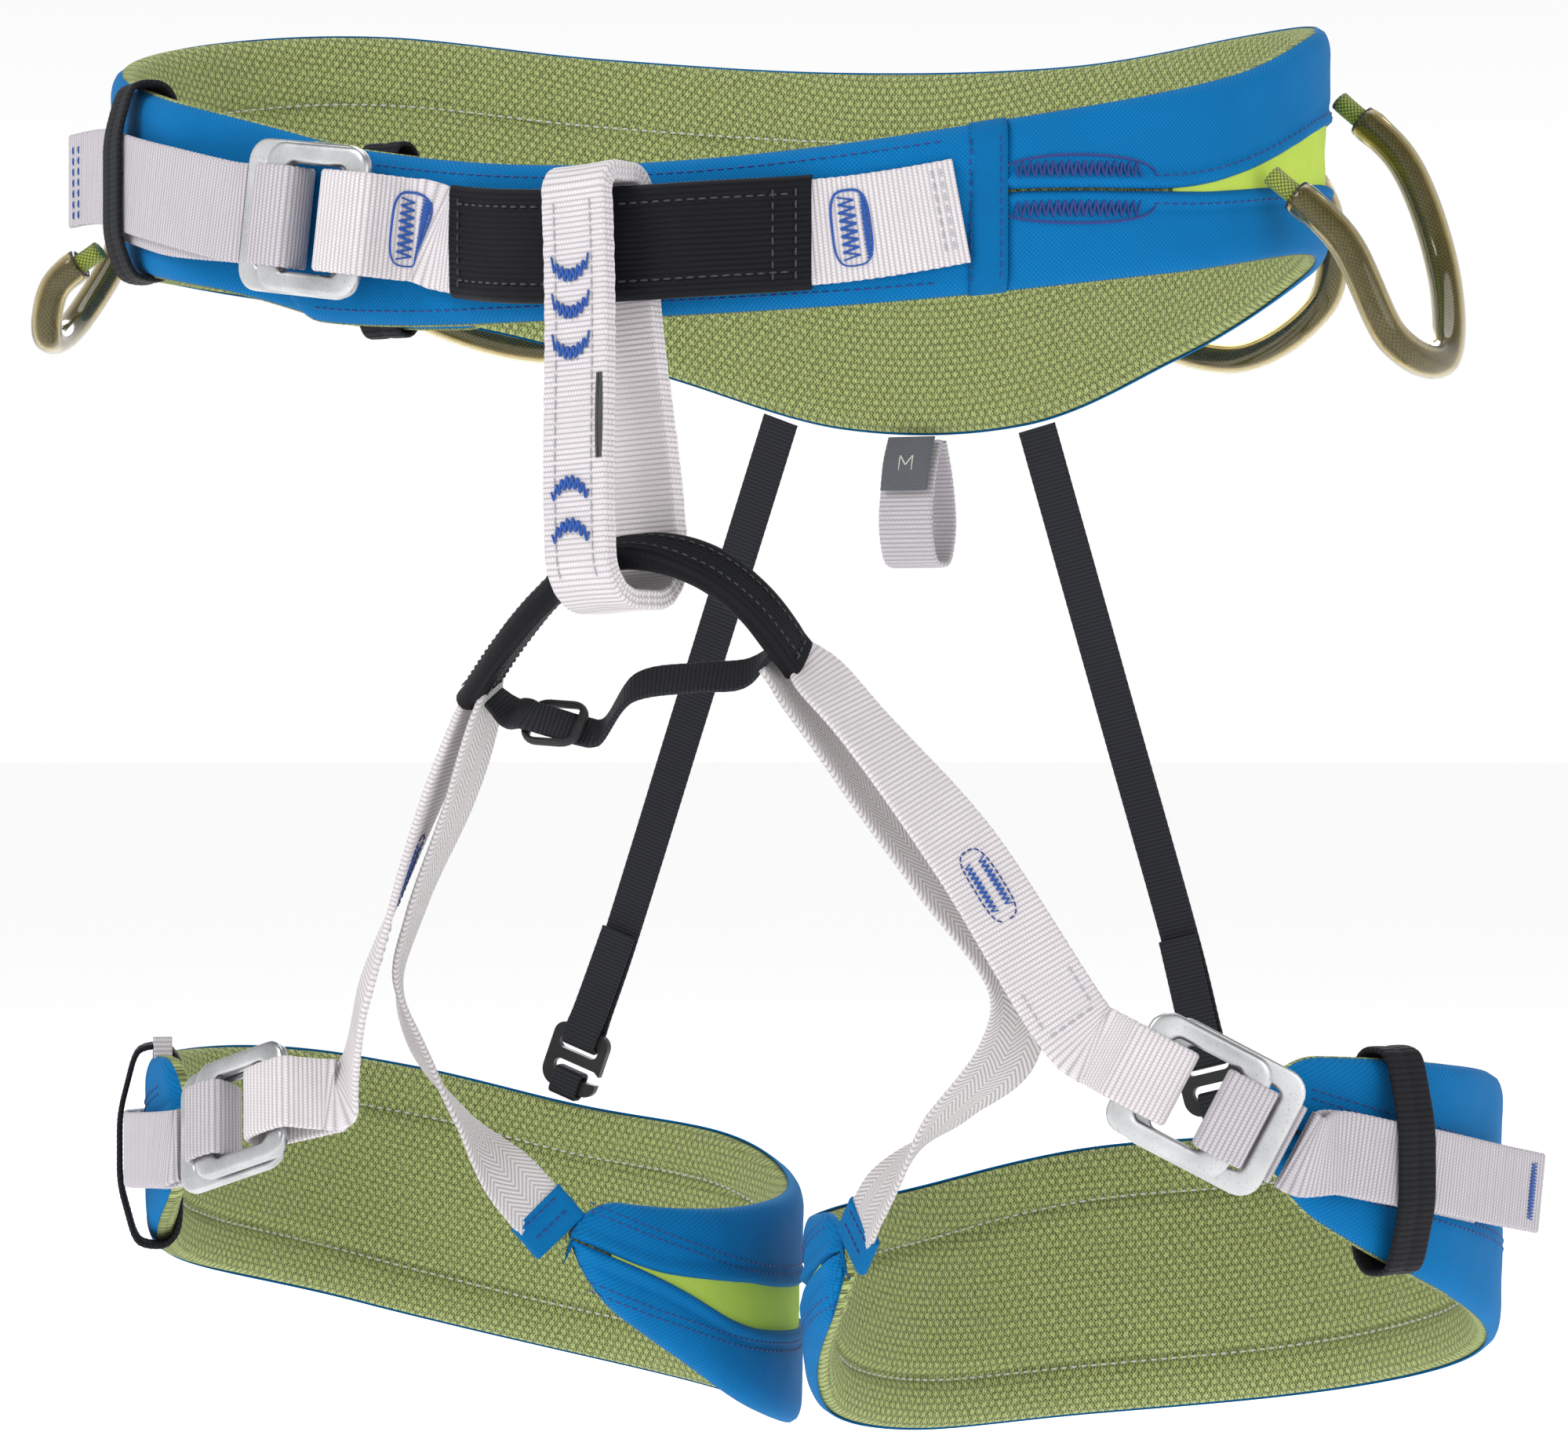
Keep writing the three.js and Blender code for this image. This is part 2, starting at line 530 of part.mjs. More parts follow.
const HOOK_X = { left: 106, right: -88 };
const ELASTIC_TOP = { left: [60, 159], right: [-19.5, 186.6] }; // x, and the belt angle there

const LEG_KEEPER = 60; // leg angle

// A leg strap's first two stops, midway between the two layers that leave its buckle.
const strapEnd = (frame, side) =>
  [-24.1, -27].map((x) => [inFrame(frame, LEG_SIZE * x, 0, -3.1), axisOf(frame, 1).multiplyScalar(side)]);

function legLoop(name, side) {
  const foamIn = foamOut - FOAM + 1; // the foam is thinner than the belt's
  add(`leg_${name}_lining`, legLayer(side, 0, 1, foamIn - GAP - LINING, foamIn - GAP, 0), GREEN);
  add(`leg_${name}_foam`, legLayer(side, 1 / 30, 29 / 30, foamIn, foamOut, 1), FOAM_GREY);
  add(`leg_${name}_shell`, legLayer(side, 0, 1, -SHELL, 0, 0), BLUE);

  const frame = LEG_BUCKLE[name];
  buckle(`leg_${name}`, LEG_WEB, LEG_SIZE, frame);
  const across = axisOf(frame, 1).multiplyScalar(-side);
  const stop = ([x, y, z, a, b, c]) => [vec(x, y, z), vec(a, b, c).normalize()];
  const bend = anchorBend(LEG_SIZE).map(([x, z]) => [inFrame(frame, x, 0, z), across]);
  const outerStops = [...RISERS[name].outer.map(stop), ...bend];
  add(`leg_${name}_riser_outer`, ribbon(outerStops, LEG_WEB - 1, WEB, 36), LIGHT_WEBBING);
  const innerStops = RISERS[name].inner.map(stop);
  add(`leg_${name}_riser_inner`, ribbon(innerStops, LEG_WEB - 4, WEB, 21), LIGHT_WEBBING);

  const strapStop = (angle, offset) => [legPoint(side, angle, offset, legStrapZ(side, angle)), vec(0, 0, -1)];
  const strapLine = [...strapEnd(frame, side), strapStop(46, 4.2), strapStop(56, 3), strapStop(66, 2.8)];
  const strap = ribbon([...strapLine, strapStop(80, 2.8)], LEG_WEB, WEB - 0.2, 18, 1.65 * side);
  add(`leg_${name}_strap`, strap, GREY_WEBBING);
  const tailLine = [...strapLine, strapStop(80, 3.4), strapStop(93, 9)];
  const tail = ribbon(tailLine, LEG_WEB, WEB - 0.2, 21, -1.65 * side);
  add(`leg_${name}_strap_tail`, tail, GREY_WEBBING);
  const drop = legDrop(side, LEG_KEEPER);
  keeper(
    `leg_${name}_keeper`, legPoint(side, LEG_KEEPER, 0, 0), legNormal(side, LEG_KEEPER),
    -250.8 + drop, -195.5 + drop, -padDepth - 0.4, 5.8,
  );
  rearElastic(name, side);
}

// ---- rear elastics and their hooks --------------------------------------------------------------

const HOOK_Y = 107.5;
const HOOK_MID_Z = -215.6;

// A flat hook: a closed slot for the elastic above, an open one for the leg loop's tab below.
function hookPlate() {
  const shape = new THREE.Shape();
  shape.moveTo(9, -4.8);
  shape.lineTo(9, -6);
  shape.absarc(5.5, -6, 3.5, 0, -Math.PI / 2, true);
  shape.lineTo(-4, -9.5);
  shape.absarc(-4, -4.5, 5, -Math.PI / 2, Math.PI, true);
  shape.lineTo(-9, 6);
  shape.absarc(-5.5, 6, 3.5, Math.PI, Math.PI / 2, true);
  shape.lineTo(5.5, 9.5);
  shape.absarc(5.5, 6, 3.5, Math.PI / 2, 0, true);
  shape.lineTo(9, -2.2);
  shape.lineTo(7.2, -1.2);
  shape.lineTo(-4, -1.2);
  shape.absarc(-4, -3.2, 2, Math.PI / 2, 1.5 * Math.PI);
  shape.lineTo(6.4, -5.2);
  shape.holes.push(roundedRect(new THREE.Path(), -6.4, 6.4, 2, 5.8, 1.8));
  const plate = new THREE.ExtrudeGeometry(shape, { depth: 2.4, bevelEnabled: false, curveSegments: 4 });
  return plate.translate(0, 0, -1.2);
}

function rearElastic(name, side) {
  const [topX, topAngle] = ELASTIC_TOP[name];
  const top = vec(topX, beltPoint(topAngle, -4, 0).y, beltBottom(topAngle) - 1.2);
  const hook = vec(HOOK_X[name], HOOK_Y, HOOK_MID_Z);
  const drop = top.clone().sub(hook).setY(0).normalize(); // the hook's up direction
  const across = vec(0, 1, 0).cross(drop).normalize();
  const frame = frameOf(hook, across, vec(0, -1, 0));
  add(`hook_${name}`, hookPlate(), PLASTIC, placedGroup(frame));

  const inHook = (y, z) => inFrame(frame, 0, y, z);
  const backStops = [top, top.clone().lerp(inHook(34, -2.6), 0.5), inHook(34, -2.6), inHook(14, -2.4)];
  const foldStops = [
    [8.5, -2.7], [4.9, -2.1], [3.9, 0], [4.9, 2.1], [8.5, 2.7], [14, 1.6], [40, 0.2],
  ].map(([y, z]) => inHook(y, z));
  const stops = [...backStops, ...foldStops].map((p) => [p, across]);
  add(`rear_elastic_${name}`, ribbon(stops, ELASTIC_WIDTH, 1.2, 44), BLACK);

  const tabWidth = ELASTIC_WIDTH - 2;
  const tab = ringPlate([-11.6, -3, -3, 3, 1.4], [-10.3, -4.3, -1.8, 1.8, 0.6], tabWidth, 2);
  tab.translate(0, 0, -tabWidth / 2).rotateX(Math.PI / 2);
  tab.applyMatrix4(new THREE.Matrix4().makeBasis(vec(0, 1, 0), vec(1, 0, 0), vec(0, 0, -1)));
  add(`leg_${name}_hook_tab`, tab, BLACK, placedGroup(frame));
}

legLoop("left", 1);
legLoop("right", -1);

// ---- gear loops and haul loop -------------------------------------------------------------------

// A round bar or, with a hole, a tube along part of a line; flat is a direction square to the line's plane.
function tube(line, from, to, flat, radius, sides, hole = 0) {
  const ring = (t, r) => {
    const out = line.getTangent(t).cross(flat).normalize();
    return samples(0, 2 * Math.PI, sides).slice(1).map((turn) =>
      line.getPoint(t).addScaledVector(flat, r * Math.sin(turn)).addScaledVector(out, r * Math.cos(turn)));
  };
  const at = stations(from, to, 1 / 16);
  return loft(at.map((t) => ring(t, radius)), hole ? at.map((t) => ring(t, hole)) : null);
}

// A moulded loop between two belt angles: out and down say how far its lowest point stands from its ends.
function gearLoop(name, first, second, out, down) {
  const away = beltNormal((first.angle + second.angle) / 2);
  const a = beltPoint(first.angle, 0, first.z).addScaledVector(beltNormal(first.angle), 2.6);
  const b = beltPoint(second.angle, 0, second.z).addScaledVector(beltNormal(second.angle), 2.6);
  const level = b.clone().sub(a).normalize();
  const reach = away.clone().multiplyScalar(out).addScaledVector(up, -down);
  const low = (share, depth, push) =>
    a.clone().lerp(b, share).addScaledVector(reach, depth).addScaledVector(away, push);
  const line = new THREE.CatmullRomCurve3(
    [a, low(0.02, 0.3, 7), low(0.1, 0.76, 2), low(0.5, 1, 0), low(0.9, 0.76, 2), low(0.98, 0.3, 7), b],
    false, "catmullrom", 0.5,
  );
  const flat = level.cross(reach).normalize();
  add(`gear_loop_${name}`, tube(line, 0.05, 0.95, flat, GEAR_TUBE, 8, GEAR_CORD + 0.5), SHEATH);
  add(`gear_cord_${name}`, tube(line, 0, 1, flat, GEAR_CORD, 6), CORD);
}
gearLoop("front_left", { angle: 74, z: 15.5 }, { angle: 106, z: 41 }, 35, 56);
gearLoop("rear_left", { angle: 122, z: 30 }, { angle: 156, z: 26 }, 22, 46);
gearLoop("front_right", { angle: -66, z: 9 }, { angle: -100, z: 40 }, 20, 33);
gearLoop("rear_right", { angle: -128, z: 34 }, { angle: -164, z: 26 }, 22, 38);

const HAUL = { width: 16, y: 97.5, z: -37.6, drop: 35.5 };
const haulStrip = bentStrip(
  [[-2, 0], [-8, -12], [-9.5, -24], [-6, -33.5], [0, -HAUL.drop], [6, -33.5], [9.5, -24], [8, -12], [2, 0]],
  WEB - 0.2, HAUL.width, 25,
);
const haulGroup = placedGroup(frameOf(vec(CENTRE_X + 3, HAUL.y, HAUL.z), vec(0, 1, 0), vec(1, 0, 0)));
add("haul_loop", haulStrip, GREY_WEBBING, haulGroup);
const labelStrip = bentStrip([[-4.6, 0], [-8.6, -7], [-10.7, -15]], 0.8, HAUL.width - 2, 6);
add("size_label", labelStrip, LABEL_GREY, haulGroup);

const labelLoop = bentStrip([[-0.7, 0], [-2, 6], [-2.6, 12], [0, 15], [3.4, 12], [3, 6], [1, 0]], 0.7, 5, 18);
const labelFrame = frameOf(legPoint(-1, 56, -5, -202.4), legTangent(-1, 56).negate(), legNormal(-1, 56));
add("leg_right_label_loop", labelLoop, GREY_WEBBING, placedGroup(labelFrame));

export default harness;
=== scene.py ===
"""The looks of a climbing harness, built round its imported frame: padded belt and leg loops, webbing, buckles,
elastics and gear loops. Shapes are worked out in millimetres and become metres in dressed()."""
import math

import bmesh
import bpy
import numpy as np
from mathutils import Matrix, Vector, noise

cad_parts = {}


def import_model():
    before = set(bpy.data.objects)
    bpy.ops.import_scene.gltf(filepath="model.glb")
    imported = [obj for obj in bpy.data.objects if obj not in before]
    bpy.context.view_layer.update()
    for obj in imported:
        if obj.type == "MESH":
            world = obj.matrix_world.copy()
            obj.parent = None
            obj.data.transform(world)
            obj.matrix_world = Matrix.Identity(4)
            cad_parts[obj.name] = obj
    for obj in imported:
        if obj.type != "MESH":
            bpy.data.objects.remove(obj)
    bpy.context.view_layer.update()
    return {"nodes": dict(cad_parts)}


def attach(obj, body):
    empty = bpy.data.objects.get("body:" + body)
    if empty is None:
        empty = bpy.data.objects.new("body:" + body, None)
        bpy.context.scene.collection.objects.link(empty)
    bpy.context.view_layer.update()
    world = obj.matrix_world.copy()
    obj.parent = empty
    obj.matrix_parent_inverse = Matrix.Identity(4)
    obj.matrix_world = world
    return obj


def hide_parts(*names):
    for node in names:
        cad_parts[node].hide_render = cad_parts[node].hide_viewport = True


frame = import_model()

MM = 0.001

# ---- driving dimensions, as in the frame ----------------------------------------------------------

WAIST_A, WAIST_B = 169, 104  # half width and half depth of the belt's outer face
CENTRE_X = 20
BELT_START, COVER_END, BELT_END = -27, 42, 356  # belt angles
TUCK = 11.2
BELT_TOP = [
    (-180, 66.5), (-155, 73), (-130, 79), (-105, 74), (-75, 60), (-45, 43), (-20, 26), (0, 17.8), (20, 18.5),
    (45, 27.5), (70, 39.5), (90, 53), (110, 61), (130, 64), (155, 63),
]
BELT_BOTTOM = [
    (-180, -34.5), (-160, -17.5), (-140, -4), (-115, 2), (-85, 5), (-60, 2), (-40, -5.5), (-20, -18),
    (5, -20), (30, -17.5), (60, -9.5), (90, -1), (115, -4), (140, -19.5), (160, -35),
]
PAD_DEPTH = 9.0  # how far behind a pad's outer face its inner one lies, roughly
WEB = 1.8  # the load webbing's thickness
STRAP = WEB - 0.2  # an adjusting strap's
WAIST_WEB, LEG_WEB = 25, 20
LEG_R, LEG_X, LEG_Y = 90, 97, 21
LEG_FRONT, LEG_INNER = 35, 318
LEG_EDGES = [
    (LEG_FRONT, -197, -227), (60, -199, -248), (100, -206, -271), (140, -217, -290), (175, -229, -302),
    (210, -234.5, -308), (245, -243, -309), (275, -245, -299), (298, -243, -280), (LEG_INNER, -238, -259),
]
LEG_SIZE = 0.96  # a leg buckle against the waist buckle
UP = np.array([0.0, 0.0, 1.0])


# ---- curves and vectors ---------------------------------------------------------------------------

def vec(*xyz):
    return np.array(xyz, float)


def unit(v):
    return v / np.linalg.norm(v, axis=-1, keepdims=True)


def smooth(x, low, high):
    t = np.clip((np.asarray(x, float) - low) / (high - low), 0, 1)
    return t * t * (3 - 2 * t)


def lengths(points):
    """How far along a line each of its points lies."""
    return np.concatenate([[0], np.cumsum(np.linalg.norm(np.diff(points, axis=0), axis=1))])


def picked(s, run, rows):
    """The rows of values that stand at the lengths run, read at the lengths s."""
    return np.stack([np.interp(s, run, column) for column in np.transpose(rows)], -1)


def joined(*values):
    """Numbers of any matching shapes, side by side in a last axis."""
    return np.stack(np.broadcast_arrays(*values), -1)


def dome(x):
    """0 at x = 0 rising steeply to 1 at x = 1 and beyond, as a quarter circle does."""
    t = 1 - np.clip(x, 0, 1)
    return np.sqrt(1 - t * t)


def hermite(f, b, c, leave, arrive):
    """The cubic from b to c at the fraction f, with its slopes at both ends."""
    square, cube = 3 * (c - b) - 2 * leave - arrive, 2 * (b - c) + leave + arrive
    return b + f * leave + f * f * square + f ** 3 * cube


def curve(points, power=0.5, clamped=False):
    """A Catmull-Rom curve through the points as a function of 0..1: power 0.5 is centripetal, 0 uniform."""
    p = np.array(points, float)
    first, last = (p[0], p[-1]) if clamped else (2 * p[0] - p[1], 2 * p[-1] - p[-2])
    p = np.vstack([first, p, last])

    def at(t):
        t = np.atleast_1d(np.asarray(t, float)) * (len(p) - 3)
        i = np.minimum(t.astype(int), len(p) - 4)
        f = (t - i)[:, None]
        a, b, c, d = p[i], p[i + 1], p[i + 2], p[i + 3]
        spans = ((a, b), (b, c), (c, d))
        g0, g1, g2 = (np.linalg.norm(y - x, axis=1, keepdims=True) ** power for x, y in spans)
        g1 = np.where(g1 < 1e-4, 1, g1)
        g0 = np.where(g0 < 1e-4, g1, g0)
        g2 = np.where(g2 < 1e-4, g1, g2)
        leave = ((b - a) / g0 - (c - a) / (g0 + g1) + (c - b) / g1) * g1
        arrive = ((c - b) / g1 - (d - b) / (g1 + g2) + (d - c) / g2) * g1
        return hermite(f, b, c, leave, arrive)

    return at


def height_of(table):
    """A smooth height round the belt through the stops of a table."""
    table = np.array(table, float)
    stops = np.vstack([table[-2:] - [360, 0], table, table[:3] + [360, 0]])

    def height(angle):
        a = (np.asarray(angle, float) + 180) % 360 - 180
        i = np.searchsorted(stops[:, 0], a, side="right") - 1
        (pa, pz), (qa, qz), (ra, rz), (sa, sz) = (np.moveaxis(stops[i + k], -1, 0) for k in (-1, 0, 1, 2))
        span = ra - qa
        t = (a - qa) / span
        leave = (rz - pz) / (ra - pa) * span
        arrive = (sz - qz) / (sa - qa) * span
        return hermite(t, qz, rz, leave, arrive)

    return height


belt_top, belt_bottom = height_of(BELT_TOP), height_of(BELT_BOTTOM)


def belt_tuck(angle):
    return -TUCK * smooth(angle, 314, 331)


def belt(angle, offset, z):
    """A point of the belt: angle 0 is the front, 90 the wearer's left; offset is out from the outer face."""
    angle, offset, z = np.broadcast_arrays(np.asarray(angle, float), offset, z)
    t = np.radians(angle)
    normal = unit(np.stack([np.sin(t) / WAIST_A, -np.cos(t) / WAIST_B, 0 * t], -1))
    return np.stack([WAIST_A * np.sin(t), -WAIST_B * np.cos(t), z], -1) + normal * offset[..., None]


def belt_tangent(angle):
    return unit(belt(angle + 0.5, 0, 0) - belt(angle - 0.5, 0, 0))


def belt_normal(angle):
    return unit(np.cross(belt_tangent(angle), UP))


def leg(side, angle, offset, z):
    """A point of a leg loop: side is +1 left, -1 right; angle 0 is the front, 90 the outside of the thigh."""
    angle, offset, z = np.broadcast_arrays(np.asarray(angle, float), offset, z)
    t = np.radians(angle)
    r = LEG_R + offset
    return np.stack([CENTRE_X + side * (LEG_X + r * np.sin(t)), LEG_Y - r * np.cos(t), z], -1)


leg_top_line = curve([(a, top) for a, top, low in LEG_EDGES], 0, True)
leg_low_line = curve([(a, low) for a, top, low in LEG_EDGES], 0, True)


def leg_drop(side, angle):
    return 0 * angle if side > 0 else -9 * (1 - smooth(angle, 50, 130))


class Place:
    """A local frame: an origin with x, y and z directions."""

    def __init__(self, origin, x, z):
        self.o, self.z = vec(*origin), unit(vec(*z))
        self.y = unit(np.cross(self.z, vec(*x)))
        self.x = unit(np.cross(self.y, self.z))

    def at(self, x, y, z):
        x, y, z = (np.asarray(c, float)[..., None] for c in (x, y, z))
        return self.o + self.x * x + self.y * y + self.z * z


# ---- meshes ---------------------------------------------------------------------------------------

def quads(a, b):
    """Faces between two rings of points, or between two sets of rings, given by their numbers."""
    return np.stack([a, np.roll(a, -1, 1), np.roll(b, -1, 1), b], -1).reshape(-1, 4).tolist()


def body(name, rows, weave, look, rides, closed=False):
    """A closed body through rings of points in millimetres. weave holds each point's place on the cloth:
    millimetres along it, millimetres across it, and a third value for the material."""
    n, m = rows.shape[:2]
    grid = np.arange(n * m).reshape(n, m)
    if closed:
        grid = np.vstack([grid, grid[:1]])
    a, b = grid[:-1], grid[1:]
    faces = quads(a, b)
    if not closed:
        faces.append(grid[0][::-1].tolist())
        faces.append(grid[-1].tolist())
    return dressed(name, rows.reshape(-1, 3), faces, weave, look, rides)


def hollow(name, outer, inner, weave, look, rides):
    """A sleeve with an outer and an inner face, open at both ends."""
    rows, both = np.concatenate([outer, inner[::-1]]), np.concatenate([weave, weave[::-1]])
    return body(name, rows, both, look, rides, closed=True)


def dressed(name, points, faces, weave, look, rides, slot=None):
    """A mesh from points in millimetres, with its material and its body; its slot is looked up but not kept."""
    mesh = bpy.data.meshes.new(name)
    mesh.from_pydata((points * MM).tolist(), [], faces)
    mesh.validate()
    attribute = mesh.attributes.new("weave", "FLOAT_VECTOR", "POINT")
    attribute.data.foreach_set("vector", weave.reshape(-1).astype(np.float32))
    work = bmesh.new()
    work.from_mesh(mesh)
    bmesh.ops.recalc_face_normals(work, faces=work.faces)
    work.to_mesh(mesh)
    work.free()
    mesh.shade_smooth()
    obj = bpy.data.objects.new(name, mesh)
    bpy.context.scene.collection.objects.link(obj)
    mesh.materials.append(look)
    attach(obj, rides)
    slot or SLOTS[look.name]
    return obj


def ripple(points, size, depth, seed=0.0):
    """Soft unevenness of cloth: one number for each point."""
    flat = points.reshape(-1, 3) / size
    values = [noise.noise(Vector((x + seed, y, z))) for x, y, z in flat]
    return depth * np.array(values).reshape(points.shape[:-1])


class Path:
    """A ribbon's centre line with its width and outward directions, at even steps of millimetres."""

    def __init__(self, points, widths, step=0.42, lift=0.0, power=0.5, clamped=False):
        t = np.linspace(0, 1, 1600)
        line, wide = curve(points, power, clamped)(t), curve(widths, power, clamped)(t)
        along = unit(np.gradient(line, axis=0))
        out = unit(np.cross(along, wide))
        self.resample(line + out * lift, out, along, step)

    def resample(self, line, out, along, step):
        run = lengths(line)
        self.s = np.linspace(0, run[-1], max(int(run[-1] / step), 4))
        pick = lambda a: picked(self.s, run, a)
        self.p = pick(line)
        self.along = unit(pick(along))
        self.out = unit(pick(out))
        self.across = unit(np.cross(self.out, self.along))

    def near(self, point):
        return self.s[np.argmin(np.linalg.norm(self.p - point, axis=1))]

    def on(self, s, across, lift):
        """Points and normals of a face of the ribbon; lift is signed, so it also says which face."""
        s, across, lift = np.broadcast_arrays(np.asarray(s, float), across, lift)
        pick = lambda a: picked(s, self.s, a)
        out = unit(pick(self.out))
        points = pick(self.p) + unit(pick(self.across)) * across[..., None] + out * lift[..., None]
        return points, out * np.sign(lift)[..., None]


def around(turn, radius, across, out):
    """Points round a circle, from two directions at each point of a line."""
    return (across[:, None] * np.cos(turn)[:, None] + out[:, None] * np.sin(turn)[:, None]) * radius


def ribs_at(x, pitch, level=0.5):
    """Round ribs, one every pitch millimetres, whose grooves lie level below zero."""
    return np.abs(np.sin(math.pi * x / pitch)) - level


def section(width, thickness, flats=14, rounds=5):
    """A flat section with round edges: places across and outwards."""
    r = thickness / 2
    x = np.linspace(-width / 2 + r, width / 2 - r, flats)
    turn = np.linspace(0, math.pi, rounds + 2)[1:-1]
    xs = np.concatenate([x, width / 2 - r + r * np.sin(turn), x[::-1], -width / 2 + r - r * np.sin(turn)])
    ys = np.concatenate([0 * x + r, r * np.cos(turn), 0 * x - r, -r * np.cos(turn)])
    return xs, ys


def webbing(name, path, width, thickness, look, rides, rib=1.25, depth=0.16, pinch=0.0):
    """Webbing with its ribs in the mesh, one every rib millimetres; pinch narrows its start."""
    xs, ys = section(width, thickness)
    s = path.s[:, None]
    flat = np.clip((width / 2 - np.abs(xs)) / 1.2, 0, 1)
    ys = ys * (1 + 2 * depth / thickness * ribs_at(s, rib, 0.6) * flat)
    drift = ripple(path.p, 22, 0.25)[:, None]
    frayed = 1 + 0.006 * np.sin(2 * math.pi * s / (rib * 2) + np.sign(xs) * 1.5)
    frayed = frayed * (1 - pinch * np.exp(-(s / 7) ** 2))
    rows = path.p[:, None] + path.across[:, None] * (xs * frayed)[..., None]
    rows = rows + path.out[:, None] * (ys + drift * 0.4 * (xs / width))[..., None]
    weave = joined(s, xs[None], np.abs(xs[None]) / (width / 2))
    return body(name, rows, weave, look, rides)


def tube(name, line, radius, look, rides, sides=14, hole=0.0):
    """A round tube along a path, open at both ends when it has a hole."""
    turn = np.linspace(0, 2 * math.pi, sides, endpoint=False)
    radius = np.broadcast_to(radius, line.s.shape)[:, None]
    rows = line.p[:, None] + around(turn, radius[..., None], line.across, line.out)
    weave = joined(line.s[:, None], turn[None] * radius, 0)
    if not hole:
        return body(name, rows, weave, look, rides)
    inner = line.p[:, None] + (rows - line.p[:, None]) * (hole / radius)[..., None]
    return hollow(name, rows, inner, weave, look, rides)


def threads(name, lines, look, rides, radius=0.28, length=2.0, gap=0.9, lift=0.16, solid=False, slot=None):
    """Stitches along lines of (points, normals) in millimetres: short threads that arch over the cloth."""
    all_rows, all_weave, faces, count = [], [], [], 0
    sides, rings = 6, 6
    turn = np.linspace(0, 2 * math.pi, sides, endpoint=False)
    for points, normals in lines:
        run = lengths(points)
        starts = [0.0] if solid else np.arange(gap / 2, run[-1] - length, length + gap)
        long = run[-1] if solid else length
        steps = max(int(long / 0.35), 6) if solid else rings
        for start in starts:
            t = np.linspace(0, 1, steps)
            s = start + t * long
            p = picked(s, run, points)
            n = unit(picked(s, run, normals))
            along = unit(np.gradient(p, axis=0) + 1e-9)
            side = unit(np.cross(along, n))
            arch = np.sin(math.pi * t) ** 0.6 if not solid else 0.7 + 0 * t
            p = p + n * (lift * arch + radius * 0.25)[:, None]
            r = radius * (0.35 + 0.65 * np.sin(math.pi * np.clip(t, 0.04, 0.96)) ** 0.4)
            ring = p[:, None] + around(turn, r[:, None, None], side, n)
            grid = count + np.arange(steps * sides).reshape(steps, sides)
            a, b = grid[:-1], grid[1:]
            faces += quads(a, b)
            faces += [grid[0][::-1].tolist(), grid[-1].tolist()]
            count += steps * sides
            all_rows.append(ring.reshape(-1, 3))
            all_weave.append(joined(s[:, None], turn[None] * radius, 0).reshape(-1, 3))
    return dressed(name, np.concatenate(all_rows), faces, np.concatenate(all_weave), look, rides, slot)


# ---- materials ------------------------------------------------------------------------------------

def linear(red, green, blue):
    """A colour given as 0 to 255 display values."""
    values = [c / 255 for c in (red, green, blue)]
    return tuple(c / 12.92 if c <= 0.04045 else ((c + 0.055) / 1.055) ** 2.4 for c in values) + (1,)


